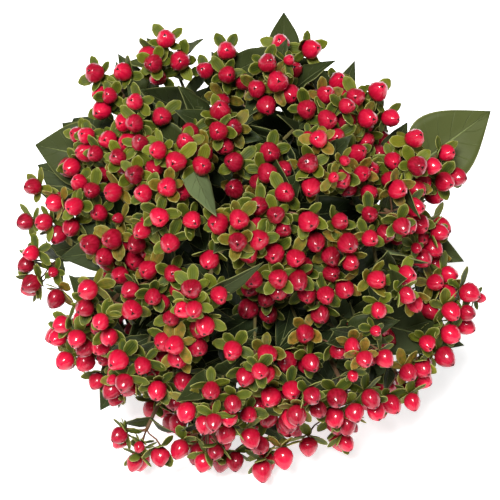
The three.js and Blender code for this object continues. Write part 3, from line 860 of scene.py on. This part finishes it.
def branch_leaves(spray):
    """Two pairs along a branch, each at the turn where the berries leave it most room."""
    found = []
    for t, size in BRANCH_PAIRS:
        root = bezier(spray.bend, t)
        onward = (bezier(spray.bend, t + BRANCH_STEP) - root).normalized()
        first, second = across(onward)
        length = size * LEAF_LENGTH
        lean = math.radians(BRANCH_LEAF_LEAN)
        pairs = []
        for k in range(PAIR_TURNS):
            turns = [math.pi * (k / PAIR_TURNS + half) for half in (0, 1)]
            pair = [leaning(onward, first, second, lean, turn) for turn in turns]
            pairs.append((min(room(root, direction, length) for direction in pair), k, pair))
        for direction in max(pairs)[2]:
            found.append((root, direction, onward, length, size * LEAF_WIDTH))
    return found


def bracts(spray):
    first, second = across(spray.axis)
    root = spray.fork - spray.axis * BRACT_DROP
    turn = 2 * math.pi * chance(spray.key, 12)
    found = []
    for half in (0, math.pi):
        direction = leaning(spray.axis, first, second, math.radians(BRACT_LEAN), turn + half)
        found.append((root, direction, spray.axis, BRACT_LENGTH, BRACT_WIDTH))
    return found


def in_hollow(tip):
    """True for a leaf's tip that would close one of the head's hollows."""
    outward = tip - HEAD_MIDDLE
    return hollow_depth(outward) > HOLLOW_EDGE and outward.length > HOLLOW_FLOOR


print("A stem has", len(cane_leaves(stems[0])), "leaves on its cane")

# %% [markdown]
# A few large leaves stand out of the head and give the bunch its character. Each is placed by where its
# tip is, seen from the best side, and grows from the spray whose fork is nearest to its root.

# %% Leaves that stand out
SHOW_LEAF_DROP = 0.008

# Turn, reach, and how far in front of the head's middle the tip is; then the leaf's length and width.
SHOW_LEAVES = [
    (30, 0.170, 0.005, 0.066, 0.045),
    (82, 0.150, -0.012, 0.056, 0.020),
    (154, 0.147, 0, 0.062, 0.040),
    (143, 0.138, -0.014, 0.060, 0.040),
    (336, 0.142, 0.022, 0.058, 0.034),
    (-3, 0.130, 0.008, 0.056, 0.024),
    (227, 0.134, 0.006, 0.054, 0.026),
]
placed_leaves = []
for turn, reach, front, length, width in SHOW_LEAVES:
    tip = HEAD_MIDDLE + show_direction(turn, 90) * reach + SHOW_AXIS * front
    wanted = tip + (HEAD_MIDDLE - tip).normalized() * length
    spray = min(sprays, key=lambda spray: (spray.fork - wanted).length)
    root = spray.fork - spray.axis * SHOW_LEAF_DROP
    way = tip - root
    placed_leaves.append((spray, (root, way.normalized(), SHOW_AXIS, way.length, width), False))
print("The leaves that stand out are", [round(1000 * leaf[3]) for _, leaf, _ in placed_leaves], "mm long")

# %% [markdown]
# Others lie between the berries, some of them turned edge-on. These are placed by where their root and
# tip are seen, and each grows from the wood that passes nearest to its root as seen from the best side.

# %% Leaves between the berries
BRANCH_SPOTS = 8  # steps along a branch from which a leaf can grow
CANE_SPOTS = 12  # and along a cane, of which its front half counts
DEPTH_SHARE = 0.25  # how much a distance in depth counts beside one across the view

# In millimetres: root and tip, across and up from the head's middle; how deep the tip is below the dome;
# the leaf's width. Last, how many degrees it is rolled about its midrib.
INNER_LEAVES = [
    (-34, 56, -20, 13, 4, 16, 155), (-40, 64, -76, 71, 10, 24, -25), (-33, 34, -54, 13, 8, 16, 15),
    (-10, -34, 8, -12, 12, 13, 50), (60, -25, 87, -16, 5, 14, -35), (-26, -64, -43, -88, 8, 18, 20),
    (-62, 100, -80, 120, 8, 16, 10), (-10, 100, 12, 121, 6, 18, -20), (4, 64, 14, 38, 26, 18, 50),
    (80, 44, 90, 20, 6, 10, 72), (100, -46, 120, -64, 4, 18, 0), (-82, -74, -90, -98, 10, 15, 30),
    (-92, 58, -116, 80, 12, 32, 15), (-94, 44, -132, 52, 10, 34, -10), (46, 62, 20, 80, 22, 14, 60),
    (-86, 0, -112, 18, 14, 22, 15), (-80, 0, -110, -8, 12, 24, -10), (-30, 80, -62, 94, 22, 26, 10),
    (-76, -40, -100, -24, 14, 22, -15), (50, -45, 78, -20, 50, 32, 0), (48, -14, 82, -4, 50, 32, 0),
    (26, -62, 52, -50, 45, 28, 0),
]


def seen_at(right, up, front):
    return HEAD_MIDDLE + SIDEWAYS * right + SHOW_UP * up + SHOW_AXIS * front


def gap_seen(spot, wanted):
    """How far apart two places look from the best side, and a little for how far apart they are in depth."""
    gap = spot - wanted
    depth = gap.dot(SHOW_AXIS)
    return (gap - SHOW_AXIS * depth).length + DEPTH_SHARE * abs(depth)


wood_spots = []
for stem in stems:
    for spray in stem.side:
        wood_spots += [(spray, bezier(spray.bend, k / BRANCH_SPOTS)) for k in range(BRANCH_SPOTS + 1)]
    front_half = range(CANE_SPOTS // 2, CANE_SPOTS + 1)
    wood_spots += [(stem.top, bezier(stem.bend, k / CANE_SPOTS)) for k in front_half]
for *lengths, roll in INNER_LEAVES:
    root_right, root_up, right, up, depth, width = (0.001 * length for length in lengths)
    front = math.sqrt(max(HEAD_RADIUS ** 2 - right ** 2 - up ** 2, 0)) - depth
    tip = seen_at(right, up, front)
    wanted = seen_at(root_right, root_up, front - depth)
    spray, root = min(wood_spots, key=lambda spot: gap_seen(spot[1], wanted))
    way = (tip - root).normalized()
    angle = math.radians(roll)
    face = SHOW_AXIS * math.cos(angle) + way.cross(SHOW_AXIS) * math.sin(angle)
    placed_leaves.append((spray, (root, way, face, (tip - root).length, width), True))
print(len(placed_leaves), "leaves have been placed one by one")

# %% [markdown]
# ## Finishes as sums
#
# A finish is a tree of nodes. Written as Python expressions, its maths stays readable: a wire is one
# output of a node, and adding or multiplying wires adds the Math nodes. All other nodes come from one
# method that takes the node's type, its settings and its inputs. The colours of a finish are laid over
# each other in layers, like glazes.

# %% Wires and finishes
def arithmetic(operation, swapped=False):
    """A method of wires that adds the Math node of an operation."""

    def method(wire, *others):
        values = (*others, wire) if swapped else (wire, *others)
        return wire.finish.node("ShaderNodeMath", {"operation": operation}, dict(enumerate(values)))

    return method


class Wire:
    """One output of a node, with the arithmetic of the numbers that it carries."""

    def __init__(self, finish, socket):
        self.finish = finish
        self.socket = socket

    __add__ = __radd__ = arithmetic("ADD")
    __sub__ = arithmetic("SUBTRACT")
    __rsub__ = arithmetic("SUBTRACT", swapped=True)
    __mul__ = __rmul__ = arithmetic("MULTIPLY")
    __pow__ = arithmetic("POWER")
    __abs__ = arithmetic("ABSOLUTE")
    sine = arithmetic("SINE")
    fraction = arithmetic("FRACT")
    larger = arithmetic("MAXIMUM")
    smaller = arithmetic("MINIMUM")

    def rising(self, start, slope):
        """From 0 at the start to 1, this steeply, and no further. A negative slope looks the other way."""
        return ((self - start) * slope).larger(0.0).smaller(1.0)

    def waves(self):
        """A wave between 0 and 1."""
        return self.sine() * 0.5 + 0.5


class Finish:
    """A material whose nodes are added one by one."""

    def __init__(self, name):
        self.material = bpy.data.materials.new(name)
        self.material.use_nodes = True
        self.tree = self.material.node_tree
        self.tree.nodes.clear()

    def node(self, kind, settings, inputs, output=0):
        made = self.tree.nodes.new(kind)
        for name, value in settings.items():
            setattr(made, name, value)
        for key, value in inputs.items():
            if isinstance(value, Wire):
                self.tree.links.new(value.socket, made.inputs[key])
            else:
                made.inputs[key].default_value = value
        return Wire(self, made.outputs[output]) if made.outputs else None

    def marked(self, name):
        """A number that was marked on the piece's vertices."""
        return self.node("ShaderNodeAttribute", {"attribute_name": name}, {}, "Fac")

    def unrolled(self):
        """The two numbers of the piece's UV map."""
        spot = {"Vector": self.node("ShaderNodeUVMap", {}, {})}
        return [self.node("ShaderNodeSeparateXYZ", {}, spot, axis) for axis in ("X", "Y")]

    def cloudy(self, scale, detail=2.0, stretch=(1, 1, 1)):
        """Soft noise from 0 to 1, so many waves to the metre."""
        place = self.node("ShaderNodeTexCoord", {}, {}, "Object")
        spot = self.node("ShaderNodeMapping", {}, {"Vector": place, "Scale": stretch})
        inputs = {"Vector": spot, "Scale": float(scale), "Detail": detail}
        return self.node("ShaderNodeTexNoise", {}, inputs, "Fac")

    def mix(self, share, first, second):
        """One colour turning into another as the share goes from 0 to 1."""
        colours = [c if isinstance(c, Wire) else (*c, 1) for c in (first, second)]
        inputs = {0: share, 6: colours[0], 7: colours[1]}
        return self.node("ShaderNodeMix", {"data_type": "RGBA"}, inputs, 2)

    def layered(self, colour, *layers):
        """A colour with others laid over it, each given as its share and its colour."""
        for share, over in layers:
            colour = self.mix(share, colour, over)
        return colour

    def surface(self, colour, roughness, height, depth, **constants):
        """Ends the tree: colour and roughness, and a bump whose height is so many metres deep."""
        bump = self.node("ShaderNodeBump", {}, {"Height": height, "Strength": 1.0, "Distance": depth})
        inputs = {"Base Color": colour, "Roughness": roughness, "Normal": bump}
        inputs.update({name.replace("_", " "): value for name, value in constants.items()})
        shader = self.node("ShaderNodeBsdfPrincipled", {}, inputs)
        self.node("ShaderNodeOutputMaterial", {"target": "ALL"}, {"Surface": shader})

    def __repr__(self):
        return f"{self.material.name}, {len(self.tree.nodes)} nodes"


print("Arithmetic on wires is ready")

# %% [markdown]
# ## Berry skin
#
# Ripe skin is crimson and waxy. It varies at random from berry to berry, from a bright red to wine red,
# and painted shade darkens it towards the base and on the berries deep in the head. Faint streaks run
# along it, the seams show as thin dark lines, and the tip is a small, dry, dark spot. The pattern follows
# the sphere's UV map, where one number goes round the berry and the other runs from its base to its tip.
# A clear coat gives the wax a sharp highlight over the softer gloss below, and a fine grain in the bump
# breaks that highlight up.

# %% Berry finish
skin = Finish("berry_skin")
around, upwards = skin.unrolled()
clouds = skin.cloudy(240)
nearness = abs((around * 3).fraction() - 0.5) * 2
seam = nearness.rising(0.84, 6.5) * upwards.rising(0.45, 2)
dry = upwards.rising(0.86, 26).larger(skin.marked("dried"))
streaks = (around * 90 + clouds * 9).waves()
red = skin.layered(
    (0.60, 0.003, 0.034),
    # the shade mark: random tone from berry to berry, and painted shade on the berries deep in the head
    (skin.marked("shade"), (0.13, 0.001, 0.006)),
    (clouds.rising(0.42, 2.2) * 0.45, (0.72, 0.016, 0.070)),
    (streaks * clouds * 0.2, (0.80, 0.050, 0.110)),
    # painted shade: the skin is darker towards the base
    (upwards.rising(0.66, -2.2) * 0.75, (0.24, 0.002, 0.012)),
    (upwards.rising(0.76, 5) * 0.3, (0.26, 0.003, 0.016)),
    (seam * 0.6, (0.12, 0.001, 0.007)),
    (dry, (0.022, 0.008, 0.005)),
)
gloss = 0.34 + clouds * 0.14 + dry * 0.4
grain = skin.cloudy(1300)
relief = clouds * 0.3 + grain * 0.7 - seam
skin.surface(red, gloss, relief, 0.00020, Coat_Weight=0.55, Coat_Roughness=0.11, Specular_IOR_Level=0.1)
print(skin)

# %% [markdown]
# ## Sepal, leaf, bark and band finishes
#
# Sepals are green with yellower edges and a thin pale rim, and some are blushed with orange. Leaves are
# darker and satin, with a pale midrib, side veins that bend towards the tip, and a paler underside.
# Bark goes from brown on the canes to green on the branches and to a reddish brown on the stalks, and a
# cane's cut end is pale. What differs between copies, their random tone and the painted shade deep in the
# head among it, is read from the numbers marked on their vertices.
# The band is of plain tan rubber, a little cloudy and dull, so that it doesn't look like plastic.

# %% Sepal finish
calyx = Finish("sepal_skin")
around, upwards = calyx.unrolled()
clouds = calyx.cloudy(420)
to_edge = (abs(around - 0.5) * 2).larger(1 - (1 - upwards) * 2.5)
stripes = (around * 34).waves() * (1 - to_edge ** 2)
green = calyx.layered(
    (0.012, 0.026, 0.003),
    # the tone mark: random tone of spray and star, darkened by painted shade deep in the head
    (calyx.marked("tone"), (0.080, 0.104, 0.008)),
    (calyx.marked("pale") ** 2 * calyx.marked("tone") * 0.8, (0.23, 0.24, 0.014)),
    (stripes * 0.25, (0.10, 0.12, 0.012)),
    (to_edge.rising(0.3, 1.5) * clouds, (0.17, 0.18, 0.012)),
    (calyx.marked("blush") * clouds.rising(0.1875, 1.6), (0.32, 0.13, 0.02)),
    (calyx.marked("under") * 0.4, (0.11, 0.15, 0.030)),
    (to_edge.rising(0.90, 20) * 0.55, (0.40, 0.38, 0.14)),
)
calyx.surface(green, 0.46 + clouds * 0.18, stripes + clouds, 0.00010, Specular_IOR_Level=0.15)
print(calyx)

# %% Leaf finish
foliage = Finish("leaf_skin")
around, upwards = foliage.unrolled()
clouds = foliage.cloudy(110, 3.0)
out = abs(around - 0.5) * 2
midrib = out.rising(1 / 24, -24)
rows = (upwards * 8 - out * 1.9 + out ** 2 * 0.5).fraction()
veins = (abs(rows - 0.5) * 2).rising(0.92, 13) * (1.1 - out ** 2)
under = foliage.marked("under")
green = foliage.layered(
    (0.009, 0.017, 0.005),
    # the tone mark: random tone of each leaf, darkened by painted shade deep in the head
    (foliage.marked("tone"), (0.072, 0.084, 0.022)),
    (clouds * 0.2, (0.058, 0.072, 0.014)),
    (under * 0.75, (0.125, 0.165, 0.070)),
    (veins * 0.25, (0.16, 0.20, 0.075)),
    (midrib * 0.8, (0.22, 0.26, 0.10)),
    (out.rising(0.95, 20) * 0.6, (0.24, 0.24, 0.08)),
)
relief = (under * 2 - 1) * (veins + midrib * 2) + clouds * 0.6
foliage.surface(green, 0.48 + clouds * 0.16 + under * 0.15, relief, 0.00030, Specular_IOR_Level=0.14)
print(foliage)

# %% Bark finish
bark = Finish("cane_bark")
streaks = bark.cloudy(900, 3.0, (1, 0.12, 1))
clouds = bark.cloudy(160)
youth = bark.marked("youth")
brown = bark.mix(streaks, (0.075, 0.038, 0.018), (0.235, 0.130, 0.062))
green = bark.mix(clouds, (0.085, 0.095, 0.022), (0.160, 0.105, 0.040))
reddish = bark.mix(clouds, (0.120, 0.038, 0.022), (0.170, 0.085, 0.030))
pale_cut = (0.52, 0.44, 0.27)
layers = [(youth.rising(0, 2), green), (youth.rising(0.5, 2), reddish), (bark.marked("cut"), pale_cut)]
tint = bark.layered(brown, *layers)
bark.surface(tint, 0.55 + streaks * 0.2, streaks, 0.00025)
print(bark)

# %% Band finish
rubber = Finish("band_rubber")
clouds = rubber.cloudy(500, 3.0)
tint = rubber.mix(clouds, (0.36, 0.20, 0.085), (0.50, 0.31, 0.15))
rubber.surface(tint, 0.5 + clouds * 0.25, clouds, 0.00010)
print(rubber)

# %% [markdown]
# ## Growing the stems
#
# Each stem gives four pieces, one for each finish: wood, leaves, sepals and berries. They all stand for
# the same solid of the imported model, so points that would lie outside the solids' box, such as those
# below the table, are drawn back to it. Little light comes deep into a real head, so painted shade darkens
# the colours of berries, sepals and leaves towards the head's middle. Where berries are crowded they bend
# each other's sepals back, each star is turned so that its sepals lie between the berries, and no sepal
# goes through one.

# %% Helpers for the pieces
# The next two numbers shape the painted shade deep in the head.
CORE_RADIUS = 0.07  # everything nearer to the head's middle is in deep shade
DEPTH_FADE = 1.4  # above 1, the colours are already darker just below the surface
BERRY_REACH = 1.12 * BERRY_RADIUS  # sepals are kept this far from a berry's middle
LONGER = 0.1  # and further by this share at its ends
FIRMNESS = 0.9  # a sepal gives way by this share of how deep it would be
STAR_ROOM = 0.022  # berries this near to a star's middle can be touched by its sepals
STAR_SHARE = 0.65  # how much of a star's size follows its berry's
FREE_NEIGHBOURS = 3  # with more berries near, a star's sepals are mostly bent back
STAR_TURNS = 8  # a star takes the one of so many turns that fits best between the berries
STAR_BLUSHES = [-2.2, 0.8]  # only those above 0 show
SPRAY_TONE = 0.8  # how much of a star's brightness is its spray's
STAR_TONE = 0.3  # and how much is its own
DARK_SPRAYS = 1.9  # above 1, most sprays have darker stars
BRIGHT_BERRIES = 2.2  # above 1, most berries are bright
BERRY_WIDTHS = [0.92, 1]
BERRY_LENGTHS = [0.93, 1.08]
LEAF_ROOM = 0.01  # berries up to this much beyond a leaf's end can be touched by it
LEAF_TILTS = [0, 0.15, -0.15, 0.3, -0.3, 0.45, -0.45]  # a loose leaf takes the one that fits best
LEAF_WAVES = [0.01, 0.06]  # as shares of a loose leaf's width
LEAF_CURLS = [0.4, 1.8]
SHOW_LEAF_WAVE = 0.02
DULLEST_LEAF = 0.2
BRIGHTEST_LEAF = 0.7
BRIGHTEST_SHOW_LEAF = 0.85
PLACED_KEY = 90  # the leaves placed one by one have the keys from here on


def overlap(near, spots):
    """How deep all these places are inside the near berries, added up."""
    total = 0
    for berry in near:
        distance = np.linalg.norm(spots - np.array(berry.middle), axis=1)
        total += np.maximum(BERRY_REACH * berry.size - distance, 0).sum()
    return total


def best_fit(near, model, rules):
    """The first of the rules that puts least of a model inside the near berries."""
    points = points_of(model)
    return min(rules, key=lambda rule: overlap(near, rule(points)))


def clear_of(near, rule):
    """The same rule, but points that would be inside one of the near berries are pushed out of it."""

    def place(points):
        spots = rule(points)
        for berry in near:
            middle, axis = np.array(berry.middle), np.array(berry.axis)
            away = spots - middle
            rounded = away - LONGER * np.outer(away @ axis, axis)
            distance = np.linalg.norm(rounded, axis=1, keepdims=True)
            skin_distance = FIRMNESS * BERRY_REACH * berry.size + (1 - FIRMNESS) * distance
            spots = middle + away * np.maximum(1, skin_distance / distance)
        return spots

    return place


# Scales the painted shade that darkens berries, sepals and leaves deep in the head.
def outwardness(spot):
    """From 0 deep in the head to 1 at its surface."""
    share = ((spot - HEAD_MIDDLE).length - CORE_RADIUS) / (HEAD_RADIUS - CORE_RADIUS)
    return min(max(share, 0), 1) ** DEPTH_FADE


def dress(piece, finish, slot, *solids):
    """Keeps a piece inside the solids' box, gives it its finish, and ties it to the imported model."""
    put(piece, lambda points: np.clip(points, *solid_box))
    piece.data.materials.clear()
    piece.data.materials.append(finish.material)
    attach(piece, "root")
    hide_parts(*solids)


def grown_berry(berry):
    side = beside(berry.axis, 2 * math.pi * chance(berry.key, 30))
    stretch = [1, spread(*BERRY_WIDTHS, berry.key, 36), spread(*BERRY_LENGTHS, berry.key, 37)]
    rule = standing(berry.middle, side, berry.axis, berry.size * np.array(stretch))
    # random tone of the berry, with painted shade that darkens the berries deep in the head
    shade = 1 - (1 - chance(berry.key, 31) ** BRIGHT_BERRIES) * outwardness(berry.middle)
    return copied(berry_model, rule, shade=shade)


def grown_star(berry):
    base = berry.middle - berry.axis * (0.5 * BERRY_LENGTH * berry.size)
    size = 1 - STAR_SHARE + STAR_SHARE * berry.size
    blush = max(0, spread(*STAR_BLUSHES, berry.key, 34))
    spray_tone = SPRAY_TONE * chance(berry.key // 10, 35) ** DARK_SPRAYS
    # random tone of spray and star, times painted shade that darkens the stars deep in the head
    tone = (spray_tone + STAR_TONE * chance(berry.key, 35)) * outwardness(berry.middle)
    near = [other for other in berries if (other.middle - base).length < STAR_ROOM]
    bent_back = chance(berry.key, 33) ** (FREE_NEIGHBOURS / len(near))
    model = star_models[math.floor(len(star_models) * bent_back)]
    rules = []
    for k in range(STAR_TURNS):
        side = beside(berry.axis, 2 * math.pi * (chance(berry.key, 32) + k / STAR_TURNS))
        rules.append(standing(base, side, berry.axis, size))
    return copied(model, clear_of(near, best_fit(near, model, rules)), tone=tone, blush=blush)


def grown_leaf(model, k, stem, leaf, loose=True):
    """A loose leaf bends, waves and tilts to find room, and one that stands out keeps its solid's shape."""
    root, direction, face, length, width = leaf
    wave, curl, tilts, brightest = SHOW_LEAF_WAVE, 1, [0], BRIGHTEST_SHOW_LEAF
    if loose:
        wave = spread(*LEAF_WAVES, k, stem.index, 41)
        curl = spread(*LEAF_CURLS, k, stem.index, 42)
        tilts, brightest = LEAF_TILTS, BRIGHTEST_LEAF
    middle = root + direction * (0.5 * length)
    # random tone of the leaf, times painted shade that darkens the leaves deep in the head
    tone = outwardness(middle) * spread(DULLEST_LEAF, brightest, k, stem.index, 53)
    near = [berry for berry in berries if (berry.middle - middle).length < 0.5 * length + LEAF_ROOM]
    ways = [(direction + face * tilt).normalized() for tilt in tilts]
    rules = [blade_rule(root, way, face, length, width, wave, curl) for way in ways]
    return copied(model, best_fit(near, model, rules), tone=tone)


print("The finishes are", skin.material.name, calyx.material.name, foliage.material.name)

# %% [markdown]
# ## Stem by stem
#
# Canes, branches and stalks make a stem's wood. Its leaves are those of the nodes and branches, without
# the ones that would close a hollow, and those that were placed one by one. Joined into four pieces,
# hundreds of parts stay easy to handle, and each piece needs only one finish. The models that were
# copied are no part of the bunch, so they are removed afterwards.

# %% All stems
for stem in stems:
    number = f"{stem.index + 1:02d}"
    canes = rods("canes", [cane_line(stem)], 3, 0)
    cut = stem.tail[0]
    mark(canes, "cut", [(vertex.co - cut).length < 1.01 * CANE_RADIUS for vertex in canes.data.vertices])
    twigs = rods("twigs", [branch_line(spray) for spray in stem.side], 1, 0.5)
    stalk_lines = [
        stalk_line(spray, k, berry) for spray in stem.sprays for k, berry in enumerate(spray.berries)
    ]
    wood = [canes, twigs, rods("stalks", stalk_lines, 1, 1)]
    leaves = cane_leaves(stem)
    for spray in stem.sprays:
        leaves += bracts(spray)
    for spray in stem.side:
        leaves += branch_leaves(spray)
    leaves = [leaf for leaf in leaves if not in_hollow(leaf[0] + leaf[1] * leaf[3])]
    grown = [grown_leaf(leaf_model, k, stem, leaf) for k, leaf in enumerate(leaves)]
    for k, (spray, leaf, loose) in enumerate(placed_leaves):
        if spray in stem.sprays:
            grown.append(grown_leaf(fine_leaf_model, PLACED_KEY + k, stem, leaf, loose))
    own_berries = [berry for spray in stem.sprays for berry in spray.berries]
    for kind, parts, finish, slot in [
        ("wood", wood, bark, "cane_bark"),
        ("leaves", grown, foliage, "leaf_green"),
        ("sepals", [grown_star(berry) for berry in own_berries], calyx, "sepal_green"),
        ("berries", [grown_berry(berry) for berry in own_berries], skin, "berry_red"),
    ]:
        dress(join(f"{kind}_{number}", parts), finish, slot, f"berry_stem_{number}")
    print("Stem", number, "has", len(leaves), "leaves and", len(own_berries), "berries")

# %% The models are put away
for model in [berry_model, sepal_model, leaf_model, fine_leaf_model, *star_models]:
    bpy.data.objects.remove(model)
print("Only the grown copies are left")

# %% [markdown]
# ## The elastic band
#
# One band is wound round the canes several times. It is a closed rod that goes round in a flat spiral
# and, on its last part of a turn, comes back over its own turns to its start.

# %% Band
BAND_TURNS = 4
BAND_ROUND = 48  # points to a turn
BAND_ROD = 0.0008  # the radius of the rod that is wound
BAND_LIFT = 1.4  # it comes back this many radii higher
BACK_STEPS = 10  # in its last so many points

winding = []
outline = band_outline(BAND_ROUND, CANE_RADIUS + BAND_GAP + BAND_ROD)
raised = band_outline(BAND_ROUND, CANE_RADIUS + BAND_GAP + (1 + BAND_LIFT) * BAND_ROD)
onward_steps = BAND_TURNS * BAND_ROUND - BACK_STEPS
for k in range(onward_steps + BACK_STEPS):
    share = k / onward_steps
    crossing = max(0, k - onward_steps) / BACK_STEPS
    over = math.sin(math.pi * crossing)
    spot = outline[k % BAND_ROUND].lerp(raised[k % BAND_ROUND], over)
    along = (min(share, 1) - crossing - 0.5) * (BAND_WIDTH - 2 * BAND_ROD)
    place = Vector((band_middle.x + spot.x, band_middle.y + along, BAND_HEIGHT + spot.y))
    winding.append((place, BAND_ROD))

band = rods("elastic_band", [winding], 2, closed=True)
dress(band, rubber, "band_rubber", "rubber_band")
print("The band has", len(band.data.polygons), "faces")

# %% [markdown]
# ## Floor and light
#
# The floor is plain and pale, so that the bunch stands clear of it, and it glows a little, as a light
# table does. That lights the berries from below, gives their lower edges a pale rim and keeps the shadow
# on the floor soft. The lights are suns, because their light is as strong at the edge of the floor as in
# its middle. A narrow one above the camera makes the small highlights, and two wide ones at the sides keep
# the shadows open.

# %% Floor
FLOOR_HEIGHT = -0.0002  # so that it doesn't share a plane with the flat spots that rest on it

floor = started("floor", bpy.ops.mesh.primitive_plane_add, size=30, location=(0, 0, FLOOR_HEIGHT))
paper = Finish("floor_paper")
tint = paper.mix(paper.cloudy(3), (0.86, 0.86, 0.86), (0.90, 0.90, 0.90))
glow = {"Emission_Color": (1, 1, 1, 1), "Emission_Strength": 0.7}
paper.surface(tint, paper.cloudy(20) * 0.1 + 0.75, paper.cloudy(60), 0.0001, **glow)
floor.data.materials.append(paper.material)
print("The floor is", round(floor.dimensions.x), "m wide")

# %% Light
def soft_light(name, azimuth, elevation, width, power):
    """Light from far away in a direction: azimuth 0 is in front and grows to the right. Width softens it."""
    a, e = math.radians(azimuth), math.radians(elevation)
    away = Vector((math.sin(a) * math.cos(e), -math.cos(a) * math.cos(e), math.sin(e)))
    light = bpy.data.lights.new(name, "SUN")
    light.angle = math.radians(width)
    light.energy = power
    lamp = bpy.data.objects.new(name, light)
    lamp.location = HEAD_MIDDLE + away
    lamp.rotation_euler = away.to_track_quat("Z", "Y").to_euler()
    bpy.context.scene.collection.objects.link(lamp)


soft_light("key", azimuth=-18, elevation=58, width=20, power=5.4)
soft_light("left", azimuth=-70, elevation=30, width=50, power=0.3)
soft_light("right", azimuth=75, elevation=30, width=50, power=0.3)
world = bpy.data.worlds.new("studio")
world.use_nodes = True
background = world.node_tree.nodes["Background"]
background.inputs["Color"].default_value = (1, 1, 1, 1)
background.inputs["Strength"].default_value = 0.12
bpy.context.scene.world = world
bpy.context.scene.view_settings.view_transform = "Standard"
print("Three lights and a white room")
